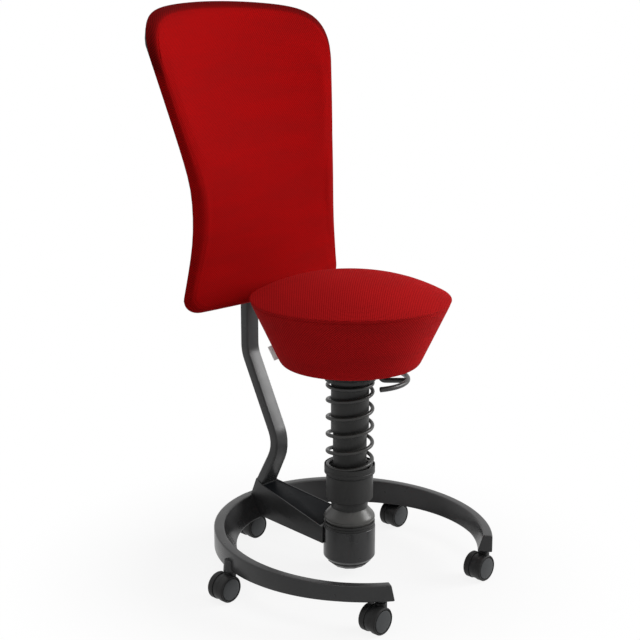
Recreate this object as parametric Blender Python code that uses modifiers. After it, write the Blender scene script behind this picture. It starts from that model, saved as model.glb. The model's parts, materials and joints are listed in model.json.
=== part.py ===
"""Sprung balance stool with a backrest, standing on a castor ring.

Metres, +Z up. The floor is z = 0, the sitter faces -Y, the backrest stands at +Y.
Everything is laid out from the column axis, and the finished stool is then moved
so that the middle of its footprint lies on the origin.
"""
import math

import bmesh
import bpy
from mathutils import Matrix, Vector

STOOL = "balance_stool"

# Fits
GAP = 0.0003              # between pieces that touch
RUN = 0.0002              # round a pin, stem or axle that turns
ROUND = 24                # facets round a large turned piece
WHEEL_ROUND = 16
SMALL_ROUND = 12          # facets round a small one

# Castors
CASTOR_NAMES = ("back", "right_rear", "right_front", "left_front", "left_rear")
STEM_INSETS = (0.001, -0.009, 0.0067, 0.0067, -0.009)   # each stem, inside the ring's middle line
CASTOR_HEIGHT = 0.0565    # floor to the ring's underside
CASTOR_TRAIL = 0.0146     # stem axis to wheel axle, towards -X
WHEEL_R = 0.027
WHEEL_WIDTH = 0.0145
WHEEL_EDGE = 0.0018       # rounding of the tread's edges
WHEEL_DISH = 0.0012       # step from tread to hub cap
WHEEL_CAP_R = 0.0215
WHEEL_SIDE_GAP = 0.0005   # wheel to housing
HOUSING_WIDTH = 0.0130
HOOD_R = 0.0258
HOOD_FROM = math.radians(85.0)         # hood's arc about the axle
HOOD_TO = math.radians(245.0)
HOOD_POINTS = 9
HOOD_FLOOR_GAP = 0.0045   # floor to the hood's lowest edge
NECK_FRONT = 0.0118       # stem axis to the front of the neck
FLANGE_R = 0.011
FLANGE_HEIGHT = 0.0036
AXLE_R = 0.004
AXLE_IN_WHEEL = 0.0095
STEM_R = 0.005
STEM_IN_HOUSING = 0.024
STEM_IN_RING = 0.021
SOCKET_R = 0.0125         # boss round the stem, at the ring's underside
SOCKET_TOP_R = 0.0105
SOCKET_HEIGHT = 0.024
FRONT_SOCKET = 0.68       # share of that width, on the ring's slim front ends
SOCKET_ROUND = 18

# Base ring, an oval that is open to the front
RING_HALF_WIDTH = 0.276
RING_HALF_LENGTH = 0.2935
RING_SHIFT = -0.008       # oval's centre, along Y from the column axis
RING_WALL = 0.020         # width of its top
RING_FOOT = 0.046         # width of its underside; the inner side slopes
RING_HEIGHT = 0.045
RING_EDGE = 0.003
RING_END_ANGLE = math.radians(32.0)    # from the front to each end
RING_END_SLANT = math.radians(12.0)    # the ends lean back towards the top
RING_STEPS = 60
RING_TAPER_FROM = math.radians(50.0)   # from the back; it gets slimmer past here
RING_TAPER_TO = math.radians(125.0)
RING_END_HEIGHT = 0.73    # share of the height that is left at the ends
RING_END_WALL = 0.86      # share of the top's width
RING_END_FOOT = 0.62      # share of the underside's width

# Arm from the ring's back to the hub
ARM_FRONT_Y = 0.030
ARM_FRONT_HALF = 0.0493
ARM_BACK_HALF = 0.0205
ARM_FRONT_TOP = 0.0985
ARM_FRONT_BOTTOM = 0.064
ARM_WALL = 0.004
ARM_CEILING = 0.012       # metal under the cover's pocket and over the hollow
COVER_THICK = 0.003
COVER_SINK = 0.0008       # cover lies this much below the arm's edges
COVER_MARGIN = 0.0022
COVER_START = 0.002       # hub to the cover's round edge
COVER_FRONT_Y = 0.040     # its two horns reach this far forward beside the hub

# Hub and tilt joint
PIVOT_Z = 0.1034
HUB_R = 0.0535
HUB_BOTTOM = 0.030
PIVOT_OVER_HUB = 0.0029
HUB_TOP = PIVOT_Z - PIVOT_OVER_HUB
HUB_FLOOR = 0.0125
HUB_CHAMFER = 0.005
COLLAR_R = 0.0526
COLLAR_HEIGHT = 0.0105
BOOT_R = 0.0524           # ball shaped boot about the pivot
BOOT_WALL = 0.0062
BOOT_FOOT_R = 0.049
BOOT_FOOT_HEIGHT = 0.0046
BOOT_SHOULDER_FROM = math.radians(61.0)   # from straight up; the ball shape ends here
BOOT_SHOULDER_R = 0.0525
BOOT_SIDE = 0.2           # share of the height under the shoulder that is straight
BOOT_MOUTH_R = 0.0245
BALL_R = 0.018
BALL_FIT = 0.0007         # ball to bowl
BOWL_WALL = 0.0056
SEAT_BLOCK_R = 0.0362     # block in the hub that carries the bowl
STEM_SHAFT_R = 0.012
SPINDLE_R = 0.0085
SPINDLE_TOP_GAP = 0.003   # spindle's end to the bowl
KNOB_R = 0.0455
KNOB_TIP_R = 0.034
KNOB_HEIGHT = 0.0148
KNOB_SIDES = 12

# Spring column
NECK_R = 0.0375
CUP_R = 0.0481
CUP_RIM_RISE = 0.1123     # cup's rim over the pivot
CUP_TOP = PIVOT_Z + CUP_RIM_RISE
CUP_SHOULDER = 0.0585     # cup's straight side, from the top down
CUP_FLOOR_RISE = 0.0646   # its inner floor over the pivot
CUP_FLOOR = PIVOT_Z + CUP_FLOOR_RISE
NECK_HEIGHT = 0.0042
RING_LIP_R = 0.052
RING_LIP_HEIGHT = 0.0175
RING_LIP_WALL = 0.0018
RING_LIP_FLOOR = 0.003
LOWER_TUBE_R = 0.0345
LOWER_TUBE_WALL = 0.0038
LOWER_TUBE_TOP = 0.360
SLEEVE_R = 0.0387
SLEEVE_WALL = 0.0035
SLEEVE_BOTTOM = 0.304
SPRING_PLATE_R = 0.052
SPRING_PLATE_BOTTOM = 0.4127
SPRING_PLATE_THICK = 0.006
WIRE_R = 0.004
COIL_R = 0.0457           # column axis to the middle of the wire
END_PITCH = 0.0090        # first and last turn
COIL_PITCH = 0.036
COIL_TOP_ANGLE = math.radians(74.0)
COIL_POINTS = 10          # per turn
BOUNCE = 0.050            # spring travel
CARRIER_WALL = 0.0056
CARRIER_FLOOR = 0.006
CARRIER_DROP_GAP = 0.0035 # carrier to cup floor at full bounce
GAS_R = 0.014
GAS_WALL = 0.003
GAS_GLAND = 0.007
GAS_TOP = 0.4885
GAS_HEAD = 0.0125
TAPER_R = 0.0125
TAPER_LENGTH = 0.035
LIFT = 0.140
ROD_R = 0.005
ROD_SHOULDER_R = 0.008
ROD_SHOULDER = 0.004
PISTON_CLEAR = 0.0004
PISTON_HEIGHT = 0.010
BUSH_HEIGHT = 0.026
BUTTON_R = 0.003
BUTTON_DEPTH = 0.009
BUTTON_PROUD = 0.006

# Seat
SEAT_R = 0.2005
SEAT_RIM_Z = 0.583
SEAT_CROWN = 0.0465
SEAT_CROWN_POWER = 2.3    # 2 is a plain dome, more is fuller towards the rim
SEAT_CROWN_POINTS = 7
SEAT_EDGE = 0.007
SEAT_BOTTOM_R = 0.1395
SEAT_BOTTOM_Z = 0.447
SEAT_CORNER = 0.011
SEAT_ROUND = 36
PLATE_R = 0.1165
PLATE_THICK = 0.006
PLATE_FIT = 0.0015        # cushion to the plate's edge
POCKET_R = 0.087
POCKET_ROOM = 0.0275      # over the gas cylinder
SEAT_HUB_R = 0.025
SEAT_HUB_TOP = 0.4865
TAG_LENGTH = 0.031
TAG_WIDTH = 0.010         # it stands out from the skirt by this much
TAG_THICK = 0.0012
TAG_ANGLE = math.radians(131.6)
TAG_RISE = 0.021          # middle of the tag over the seat's lower edge

# Height lever, drawn along +X and then turned to where it points
LEVER_ANGLE = math.radians(-48.4)
LEVER_R = 0.0048
LEVER_PIVOT_OUT = 0.024
LEVER_BUTTON_GAP = 0.0006
LEVER_TIP = 0.004         # finger past the column axis
LEVER_DROP_OUT = 0.061
LEVER_GRIP_Z = 0.410
LEVER_BEND = 0.011
GRIP_R = 0.0842
GRIP_CENTRE = (0.0319, 0.0137)
GRIP_FROM = math.radians(-71.0)
GRIP_TO = math.radians(46.0)
GRIP_POINTS = 14
LEVER_EYE_R = 0.0072
LEVER_EYE_HALF = 0.006
LEVER_TRAVEL = math.radians(7.0)
LEVER_SLOT_MARGIN = 0.003
PIN_R = 0.0025
EAR_THICK = 0.003
EAR_R = 0.0068
BRACKET_PLATE = 0.003

# Backrest
BACK_TOP = 1.1495
BACK_BOTTOM = 0.541
BACK_FRONT_Y = 0.2165     # column axis to the front of the padding's sides, at the waist
BACK_BEND_Z = 0.792       # it leans back and widens above this
BACK_BEND_SOFT = 0.044
BACK_LEAN = 0.2275
BACK_FOOT_Z = 0.693       # it curves back and widens below this
BACK_FOOT_LEAN = 0.094
BACK_HOLLOW_TOP = 0.063   # how far the middle lies behind the sides
BACK_BELLY_LOW = 0.010    # how far the middle lies before the sides, at the foot
BACK_WAIST_HALF = 0.201
BACK_WIDEN_UP = 0.210
BACK_WIDEN_DOWN = 0.195
BACK_TOP_BOW = 0.023
BACK_TOP_CORNER = 0.095   # extra drop of the top's corners
BACK_TOP_POWER = 8
BACK_BOTTOM_CORNER = 0.040
BACK_BOTTOM_SPREAD = 0.23 # width of the lower corners, as a share of the half width
BACK_THICK = 0.014
BACK_INSET = 0.0153       # front panel inside the band, sides and top
BACK_INSET_LOW = 0.008
BACK_CROWN = 0.004
BACK_COLUMNS = 18
BACK_ROWS = 18
BACK_EDGE_CROWD = 0.46    # columns lie closer together near the sides
SHELL_THICK = 0.006
SHELL_SHARE = 0.97        # of the padding's width and height
SHELL_GAP = 0.0007
PAD_PROUD = 0.001         # flat pad on the shell, under the bracket

# Upright and its bracket
BAR_HALF = 0.018
BAR_FOOT_HALF = 0.0225
BAR_THICK = 0.022
BAR_EDGE = 0.003
BAR_FOOT = (0.2414, 0.1376)   # its centre line on the arm, as Y and Z
BAR_KNEE = (0.194, 0.228)     # lower bend
BAR_SHOULDER = (0.2885, 0.420)
BAR_TOP = 0.705
BAR_BEND = 0.070
BAR_BEND_STEPS = 5
BRACKET_HALF = 0.046
BRACKET_BOTTOM = 0.600
BRACKET_TOP = 0.696
BRACKET_BASE = 0.008
BRACKET_NECK_HALF = 0.021
SCREW_R = 0.0025
SCREW_HEAD_R = 0.005
SCREW_HEAD = 0.003
SCREW_MARGIN = 0.011
SCREW_BITE = 0.0045
BOLT_R = 0.004
BOLT_HEAD_R = 0.0068
BOLT_HEAD = 0.005
BOLT_BITE = 0.016
BOLT_MARGIN = 0.024

COLOURS = {
    "painted_grey": ((0.060, 0.060, 0.063), 0.45, 0.3),
    "cover_black": ((0.008, 0.009, 0.011), 0.40, 0.0),
    "column_black": ((0.018, 0.018, 0.018), 0.45, 0.1),
    "rubber": ((0.014, 0.014, 0.012), 0.60, 0.0),
    "spring_steel": ((0.030, 0.029, 0.027), 0.38, 0.5),
    "bright_steel": ((0.55, 0.55, 0.55), 0.30, 1.0),
    "castor_black": ((0.016, 0.017, 0.018), 0.45, 0.0),
    "tread": ((0.022, 0.022, 0.022), 0.60, 0.0),
    "red_fabric": ((0.35, 0.006, 0.008), 0.85, 0.0),
    "label_white": ((0.80, 0.80, 0.80), 0.70, 0.0),
}

# The arm's heel is cut square to the upright, which stands on it
UPRIGHT_AXIS = (Vector(BAR_KNEE) - Vector(BAR_FOOT)).normalized()
UPRIGHT_ACROSS = Vector((UPRIGHT_AXIS.y, -UPRIGHT_AXIS.x))
ARM_HEEL_Y, ARM_HEEL_TOP = Vector(BAR_FOOT) - UPRIGHT_ACROSS * BAR_THICK / 2

places = {}               # world place of every empty, by name


# Scene and materials


def clear_scene():
    """Remove every object, so that the script can be run again."""
    for old in list(bpy.data.objects):
        bpy.data.objects.remove(old, do_unlink=True)


def new_collection(name):
    """Make a collection in the scene."""
    made = bpy.data.collections.new(name)
    bpy.context.scene.collection.children.link(made)
    return made


def make_materials():
    """One Principled material for each finish."""
    made = {}
    for name, (colour, roughness, metallic) in COLOURS.items():
        mat = bpy.data.materials.new(name)
        mat.use_nodes = True
        shader = mat.node_tree.nodes["Principled BSDF"]
        shader.inputs["Base Color"].default_value = (*colour, 1.0)
        shader.inputs["Roughness"].default_value = roughness
        shader.inputs["Metallic"].default_value = metallic
        made[name] = mat
    return made


def pivot(name, parent, at):
    """An empty that carries moving pieces, placed on their joint's axis."""
    empty = bpy.data.objects.new(name, None)
    empty.empty_display_size = 0.02
    parts.objects.link(empty)
    places[name] = Vector(at)
    if parent is not None:
        empty.parent = parent
        empty.location = Vector(at) - places[parent.name]
    return empty


def add_piece(name, data, finish, parent, at=(0.0, 0.0, 0.0)):
    """Link a mesh or curve as a named sub-part, with its origin at a world place."""
    piece = bpy.data.objects.new(name, data)
    data.materials.append(materials[finish])
    parts.objects.link(piece)
    piece.parent = parent
    piece.location = Vector(at) - places[parent.name]
    return piece


def add_cutter(name, mesh, parent):
    """Link a mesh that only cuts or joins others."""
    cutter = bpy.data.objects.new(name, mesh)
    cutters.objects.link(cutter)
    cutter.hide_render = True
    cutter.display_type = "WIRE"
    cutter.parent = parent
    cutter.location = -places[parent.name]
    return cutter


def combine(piece, other, operation):
    """Cut a piece with another object, or join them."""
    step = piece.modifiers.new(operation.lower(), "BOOLEAN")
    step.operation = operation
    step.object = other
    step.solver = "EXACT"


# Shapes


def turned(profile, closed):
    """Mesh of a profile's points and edges, to be turned about Z."""
    mesh = bpy.data.meshes.new("profile")
    edges = [(i, i + 1) for i in range(len(profile) - 1)]
    if closed:
        edges.append((len(profile) - 1, 0))
    mesh.from_pydata([(r, 0.0, z) for r, z in profile], edges, [])
    return mesh


def spin(piece, steps):
    """Turn a profile through a full circle."""
    screw = piece.modifiers.new("turn", "SCREW")
    screw.steps = steps
    screw.render_steps = steps
    screw.use_merge_vertices = True
    screw.merge_threshold = 0.00001
    return piece


def add_turned(name, profile, finish, parent, closed=True, steps=ROUND):
    """A turned sub-part on the column axis."""
    return spin(add_piece(name, turned(profile, closed), finish, parent), steps)


def tube_profile(outer, wall, bottom, top):
    """Closed profile of a plain tube."""
    inner = outer - wall
    return [(outer, top), (outer, bottom), (inner, bottom), (inner, top)]


def sphere_arc(centre, radius, start, end, count):
    """Points on a ball about the axis, between two angles from straight up."""
    angles = [start + (end - start) * i / count for i in range(count + 1)]
    return [(max(0.0, radius * math.sin(a)), centre + radius * math.cos(a)) for a in angles]


def rod_mesh(radius, low, high, x=0.0, y=0.0, top_radius=None, sides=SMALL_ROUND):
    """Upright cylinder or cone as a mesh."""
    bm = bmesh.new()
    bmesh.ops.create_cone(
        bm, cap_ends=True, segments=sides, radius1=radius,
        radius2=radius if top_radius is None else top_radius, depth=high - low)
    bmesh.ops.translate(bm, verts=bm.verts, vec=(x, y, (low + high) / 2))
    return to_mesh(bm)


def lying_rod_mesh(radius, low, high, axis, across, sides=SMALL_ROUND):
    """Cylinder along X or Y; across gives its other two places in X, Y, Z order."""
    bm = bmesh.new()
    bmesh.ops.create_cone(
        bm, cap_ends=True, segments=sides, radius1=radius, radius2=radius, depth=high - low)
    turn = Matrix.Rotation(math.pi / 2, 4, "X" if axis == "Y" else "Y")
    bmesh.ops.transform(bm, matrix=turn, verts=bm.verts)
    middle = (low + high) / 2
    at = (across[0], middle, across[1]) if axis == "Y" else (middle, across[0], across[1])
    bmesh.ops.translate(bm, verts=bm.verts, vec=at)
    return to_mesh(bm)


def box_mesh(low, high):
    """Box between two corners."""
    bm = bmesh.new()
    bmesh.ops.create_cube(bm, size=1.0)
    size = Vector(high) - Vector(low)
    bmesh.ops.scale(bm, vec=size, verts=bm.verts)
    bmesh.ops.translate(bm, vec=(Vector(high) + Vector(low)) / 2, verts=bm.verts)
    return to_mesh(bm)


def to_mesh(bm):
    """Turn a bmesh into a mesh with its faces pointing out."""
    bmesh.ops.recalc_face_normals(bm, faces=bm.faces)
    mesh = bpy.data.meshes.new("solid")
    bm.to_mesh(mesh)
    bm.free()
    return mesh


def prism(outline, place, length):
    """Extrude a flat outline: place maps an outline point to 3D, length is the depth vector."""
    bm = bmesh.new()
    face = bm.faces.new([bm.verts.new(place(*point)) for point in outline])
    grown = bmesh.ops.extrude_face_region(bm, geom=[face])
    moved = [v for v in grown["geom"] if isinstance(v, bmesh.types.BMVert)]
    bmesh.ops.translate(bm, vec=length, verts=moved)
    return bm


def cut_away(bm, point, normal):
    """Remove what lies past a plane, and close the cut."""
    geom = list(bm.verts) + list(bm.edges) + list(bm.faces)
    bmesh.ops.bisect_plane(
        bm, geom=geom, dist=0.000001, plane_co=point, plane_no=normal, clear_outer=True)
    rim = [edge for edge in bm.edges if edge.is_boundary]
    bmesh.ops.holes_fill(bm, edges=rim, sides=0)


def rounded_path(points, radius, steps):
    """Points along a path whose inner corners are arcs of one radius."""
    path = [Vector(points[0])]
    for before, corner, after in zip(points, points[1:], points[2:]):
        corner = Vector(corner)
        back = (Vector(before) - corner).normalized()
        ahead = (Vector(after) - corner).normalized()
        half = back.angle(ahead) / 2
        centre = corner + (back + ahead).normalized() * radius / math.sin(half)
        start = corner + back * radius / math.tan(half) - centre
        end = corner + ahead * radius / math.tan(half) - centre
        sweep = start.angle(end)
        for i in range(steps + 1):
            share = i / steps
            mix = start * math.sin((1 - share) * sweep) + end * math.sin(share * sweep)
            path.append(centre + mix / math.sin(sweep))
    path.append(Vector(points[-1]))
    return path


def wire_curve(points, radius, resolution):
    """Round wire along a polyline, with closed ends."""
    curve = bpy.data.curves.new("wire", "CURVE")
    curve.dimensions = "3D"
    curve.bevel_depth = radius
    curve.bevel_resolution = resolution
    curve.use_fill_caps = True
    spline = curve.splines.new("POLY")
    spline.points.add(len(points) - 1)
    for slot, point in zip(spline.points, points):
        slot.co = (*point, 1.0)
    return curve


def wire_mesh(points, radius, resolution):
    """The same wire as one closed mesh, which can be cut and joined."""
    holder = bpy.data.objects.new("wire", wire_curve(points, radius, resolution))
    parts.objects.link(holder)
    graph = bpy.context.evaluated_depsgraph_get()
    mesh = bpy.data.meshes.new_from_object(holder.evaluated_get(graph))
    bpy.data.objects.remove(holder, do_unlink=True)
    bm = bmesh.new()
    bm.from_mesh(mesh)
    bmesh.ops.remove_doubles(bm, verts=bm.verts, dist=0.000001)
    mesh.materials.clear()
    bpy.data.meshes.remove(mesh)
    return to_mesh(bm)


# Base ring and arm


def ring_section():
    """Closed profile of the ring at its full width."""
    outer = RING_HALF_WIDTH
    inner, foot = outer - RING_WALL, outer - RING_FOOT
    low, high = CASTOR_HEIGHT, CASTOR_HEIGHT + RING_HEIGHT
    edge = RING_EDGE
    return [(outer - edge, high), (outer, high - edge), (outer, low + edge), (outer - edge, low),
            (foot + edge, low), (foot, low + edge), (inner, high - edge), (inner + edge, high)]


def whole_ring():
    """The full oval as a bmesh, before it is cut."""
    holder = spin(bpy.data.objects.new("ring", turned(ring_section(), True)), RING_STEPS)
    parts.objects.link(holder)
    graph = bpy.context.evaluated_depsgraph_get()
    mesh = bpy.data.meshes.new_from_object(holder.evaluated_get(graph))
    bpy.data.objects.remove(holder, do_unlink=True)
    bm = bmesh.new()
    bm.from_mesh(mesh)
    bpy.data.meshes.remove(mesh)
    middle = CASTOR_HEIGHT + RING_HEIGHT / 2
    for vert in bm.verts:
        flat = Vector((vert.co.x, vert.co.y))
        share = (flat.angle(Vector((0.0, 1.0))) - RING_TAPER_FROM) / (RING_TAPER_TO - RING_TAPER_FROM)
        share = min(1.0, max(0.0, share))
        rise = (vert.co.z - CASTOR_HEIGHT) / RING_HEIGHT
        left = RING_END_FOOT + (RING_END_WALL - RING_END_FOOT) * rise
        depth = (RING_HALF_WIDTH - flat.length) * (1 - share * (1 - left))
        flat = flat.normalized() * (RING_HALF_WIDTH - depth)
        height = (vert.co.z - middle) * (1 - share * (1 - RING_END_HEIGHT))
        vert.co = (flat.x, flat.y, middle + height)
    bmesh.ops.scale(bm, vec=(1.0, RING_HALF_LENGTH / RING_HALF_WIDTH, 1.0), verts=bm.verts)
    bmesh.ops.translate(bm, vec=(0.0, RING_SHIFT, 0.0), verts=bm.verts)
    return bm


def castor_place(index):
    """Stem axis of a castor, counted from the back and towards the sitter's right."""
    turn = index * math.tau / len(CASTOR_NAMES)
    across, along = -math.sin(turn), math.cos(turn)
    wide = RING_HALF_WIDTH - RING_WALL / 2
    long = RING_HALF_LENGTH - RING_WALL / 2
    # a line from the column axis meets the oval that runs through the middle of the wall
    a = (across / wide) ** 2 + (along / long) ** 2
    b = along * RING_SHIFT / long ** 2
    c = (RING_SHIFT / long) ** 2 - 1
    reach = (b + math.sqrt(b * b - a * c)) / a - STEM_INSETS[index]
    return Vector((across * reach, along * reach, 0.0))


def add_castor_socket(piece, index):
    """Boss on the ring round a castor's stem, and the hole for the stem."""
    at = castor_place(index)
    low = CASTOR_HEIGHT + GAP
    share = FRONT_SOCKET if at.y < RING_SHIFT else 1.0
    high = low + SOCKET_HEIGHT
    boss = rod_mesh(SOCKET_R * share, low, high, at.x, at.y, SOCKET_TOP_R * share, SOCKET_ROUND)
    combine(piece, add_cutter(f"socket_boss_{index}", boss, root), "UNION")
    depth = CASTOR_HEIGHT + STEM_IN_RING + GAP
    hole = rod_mesh(STEM_R + RUN, 0.0, depth, at.x, at.y)
    combine(piece, add_cutter(f"socket_hole_{index}", hole, root), "DIFFERENCE")


def make_ring_half(name, side, castors):
    """One curved half of the ring, side -1 on the sitter's right."""
    bm = whole_ring()
    cut_away(bm, (side * (ARM_BACK_HALF + GAP), 0.0, 0.0), (-side, 0.0, 0.0))
    near, far = (Vector((side * (arm_half(y) + GAP), y, 0.0)) for y in (ARM_FRONT_Y, ARM_HEEL_Y))
    beside = far - near
    cut_away(bm, near, (-side * beside.y, side * beside.x, 0.0))
    end = Vector((side * math.sin(RING_END_ANGLE), -math.cos(RING_END_ANGLE), 0.0))
    ahead = Vector((-side * math.cos(RING_END_ANGLE), -math.sin(RING_END_ANGLE), 0.0))
    normal = ahead * math.cos(RING_END_SLANT) + Vector((0.0, 0.0, math.sin(RING_END_SLANT)))
    middle = CASTOR_HEIGHT + RING_HEIGHT / 2
    cut_away(bm, end * RING_HALF_WIDTH + Vector((0.0, 0.0, middle)), normal)
    half = add_piece(name, to_mesh(bm), "painted_grey", root)
    for index in castors:
        add_castor_socket(half, index)
    return half


def arm_half(y):
    """Half width of the arm at a distance behind the column."""
    back = RING_HALF_LENGTH + RING_SHIFT - RING_WALL
    share = (y - ARM_FRONT_Y) / (back - ARM_FRONT_Y)
    return ARM_FRONT_HALF + (ARM_BACK_HALF - ARM_FRONT_HALF) * share


def arm_top(y):
    """Height of the arm's sloping top."""
    share = (y - ARM_FRONT_Y) / (ARM_HEEL_Y - ARM_FRONT_Y)
    return ARM_FRONT_TOP + (ARM_HEEL_TOP - ARM_FRONT_TOP) * share


def tapered(outline, inset):
    """Side outline of the arm (as Y and Z), as wide as the arm less an inset on both sides."""
    reach = ARM_FRONT_HALF * 2
    bm = prism(outline, lambda y, z: (-reach, y, z), (2 * reach, 0.0, 0.0))
    far = ARM_HEEL_Y
    for side in (-1, 1):
        near_edge = Vector((side * (arm_half(ARM_FRONT_Y) - inset), ARM_FRONT_Y, 0.0))
        far_edge = Vector((side * (arm_half(far) - inset), far, 0.0))
        along = far_edge - near_edge
        cut_away(bm, near_edge, (side * along.y, -side * along.x, 0.0))
    return to_mesh(bm)


def cover_outline(start, margin, low, high):
    """Side outline of a slab that lies along the arm's top, by its depths under it."""
    end = ARM_HEEL_Y - GAP - margin
    return [(start, arm_top(start) - low), (end, arm_top(end) - low),
            (end, arm_top(end) - high), (start, arm_top(start) - high)]


def make_arm():
    """Arm with the lug that closes the ring at the back, its hollow and the cover."""
    ring_inner = RING_HALF_LENGTH + RING_SHIFT - RING_WALL
    ring_top = CASTOR_HEIGHT + RING_HEIGHT
    heel = Vector((ARM_HEEL_Y, ARM_HEEL_TOP))
    heel_back = heel + UPRIGHT_ACROSS * BAR_THICK
    outline = [(ARM_FRONT_Y, ARM_FRONT_BOTTOM), (ring_inner + RING_EDGE * 2, CASTOR_HEIGHT + RING_EDGE),
               (ring_inner + RING_EDGE * 2, ring_top - RING_EDGE), tuple(heel_back), tuple(heel),
               (ARM_FRONT_Y, ARM_FRONT_TOP)]
    arm = add_piece("base_arm", tapered(outline, 0.0), "painted_grey", root)
    lug = whole_ring()
    for side in (-1, 1):
        cut_away(lug, (side * ARM_BACK_HALF, 0.0, 0.0), (side, 0.0, 0.0))
    cut_away(lug, (0.0, ring_inner, 0.0), (0.0, -1.0, 0.0))
    combine(arm, add_cutter("ring_lug", to_mesh(lug), root), "UNION")
    add_castor_socket(arm, 0)
    seat_hole = rod_mesh(HUB_R + GAP, 0.0, ARM_HEEL_TOP, sides=ROUND * 2)
    combine(arm, add_cutter("arm_hub_hole", seat_hole, root), "DIFFERENCE")
    sunk = COVER_THICK + COVER_SINK
    pocket = tapered(cover_outline(COVER_FRONT_Y, 0.0, -ARM_WALL, sunk + GAP), COVER_MARGIN)
    combine(arm, add_cutter("cover_pocket", pocket, root), "DIFFERENCE")
    round_edge = HUB_R + COVER_START
    hollow = cover_outline(round_edge + ARM_WALL, ARM_WALL, ARM_CEILING, ARM_HEEL_TOP)
    hollow = tapered(hollow, ARM_WALL)
    combine(arm, add_cutter("arm_hollow", hollow, root), "DIFFERENCE")
    hole = slanted_rod(BOLT_R + RUN, -BOLT_BITE - GAP, BOLT_BITE)
    combine(arm, add_cutter("foot_bolt_hole", hole, root), "DIFFERENCE")
    lid = tapered(cover_outline(COVER_FRONT_Y + GAP, GAP, COVER_SINK, sunk), COVER_MARGIN + GAP)
    cover = add_piece("arm_cover", lid, "cover_black", root)
    notch = rod_mesh(round_edge, 0.0, ARM_HEEL_TOP, sides=ROUND * 2)
    combine(cover, add_cutter("cover_hub_notch", notch, root), "DIFFERENCE")


# Upright and backrest


def slanted_rod(radius, low, high):
    """Cylinder along the upright's foot, from low to high past the joint with the arm."""
    bm = bmesh.new()
    bmesh.ops.create_cone(
        bm, cap_ends=True, segments=SMALL_ROUND, radius1=radius, radius2=radius, depth=high - low)
    bmesh.ops.translate(bm, vec=(0.0, 0.0, (low + high) / 2), verts=bm.verts)
    tilt = math.atan2(-UPRIGHT_AXIS.x, UPRIGHT_AXIS.y)
    bmesh.ops.transform(bm, matrix=Matrix.Rotation(tilt, 4, "X"), verts=bm.verts)
    bmesh.ops.translate(bm, vec=(0.0, *BAR_FOOT), verts=bm.verts)
    return to_mesh(bm)


def make_upright():
    """Flat bar from the arm to the backrest: a loft of bevelled sections along its path."""
    foot = Vector(BAR_FOOT) + UPRIGHT_AXIS * GAP
    ends = [foot, BAR_KNEE, BAR_SHOULDER, (BAR_SHOULDER[0], BAR_TOP)]
    path = rounded_path([Vector((0.0, *point)) for point in ends], BAR_BEND, BAR_BEND_STEPS)
    knee_z = BAR_KNEE[1]
    bm = bmesh.new()
    loops = []
    for i, point in enumerate(path):
        along = (path[min(i + 1, len(path) - 1)] - path[max(i - 1, 0)]).normalized()
        out = Vector((0.0, along.z, -along.y))
        share = min(1.0, max(0.0, (point.z - foot.y) / (knee_z - foot.y)))
        half = BAR_FOOT_HALF + (BAR_HALF - BAR_FOOT_HALF) * share
        deep = BAR_THICK / 2
        edge = BAR_EDGE
        section = [(half - edge, deep), (half, deep - edge), (half, edge - deep), (half - edge, -deep),
                   (edge - half, -deep), (-half, edge - deep), (-half, deep - edge), (edge - half, deep)]
        loops.append([bm.verts.new(point + Vector((x, 0.0, 0.0)) + out * d) for x, d in section])
    for low, high in zip(loops, loops[1:]):
        for k in range(len(low)):
            nxt = (k + 1) % len(low)
            bm.faces.new((low[k], low[nxt], high[nxt], high[k]))
    bm.faces.new(loops[0])
    bm.faces.new(loops[-1])
    bar = add_piece("back_upright", to_mesh(bm), "painted_grey", root)
    hole = slanted_rod(BOLT_R + RUN, -BOLT_BITE, BOLT_BITE + GAP)
    combine(bar, add_cutter("upright_foot_hole", hole, root), "DIFFERENCE")
    bolt = slanted_rod(BOLT_R, -BOLT_BITE, BOLT_BITE)
    add_piece("upright_foot_bolt", bolt, "bright_steel", root)
    for number, z in enumerate(bolt_heights(), 1):
        rear = BAR_SHOULDER[0] + BAR_THICK / 2
        through = lying_rod_mesh(BOLT_R + RUN, bolt_tip(), rear + GAP, "Y", (0.0, z))
        combine(bar, add_cutter(f"upright_bolt_hole_{number}", through, root), "DIFFERENCE")
    return bar


def ramp(x):
    """Zero below 0 and rising above it, with a soft bend between."""
    return (x + math.sqrt(x * x + BACK_BEND_SOFT ** 2)) / 2


def back_front(z):
    """Front of the padding's sides, in side view."""
    lean = BACK_LEAN * ramp(z - BACK_BEND_Z) + BACK_FOOT_LEAN * ramp(BACK_FOOT_Z - z)
    return BACK_FRONT_Y + lean


def back_hollow(z):
    """How far the middle lies behind the sides."""
    share = (z - BACK_BOTTOM) / (BACK_TOP - BACK_BOTTOM)
    return (BACK_HOLLOW_TOP + BACK_BELLY_LOW) * share - BACK_BELLY_LOW


def back_half(z):
    """Half width of the backrest."""
    wider = BACK_WIDEN_UP * ramp(z - BACK_BEND_Z) + BACK_WIDEN_DOWN * ramp(BACK_FOOT_Z - z)
    return BACK_WAIST_HALF + wider


def corner_drop(s, spread):
    """Quarter ellipse over the outer part of the width, from 0 to 1."""
    reach = max(0.0, (abs(s) - 1 + spread) / spread)
    return 1 - math.sqrt(max(0.0, 1 - reach * reach))


def top_drop(s):
    """Fall of the upper edge towards its corners, upright at the very sides, from 0 to 1."""
    return 1 - math.sqrt(max(0.0, 1 - abs(s) ** BACK_TOP_POWER))


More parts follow.
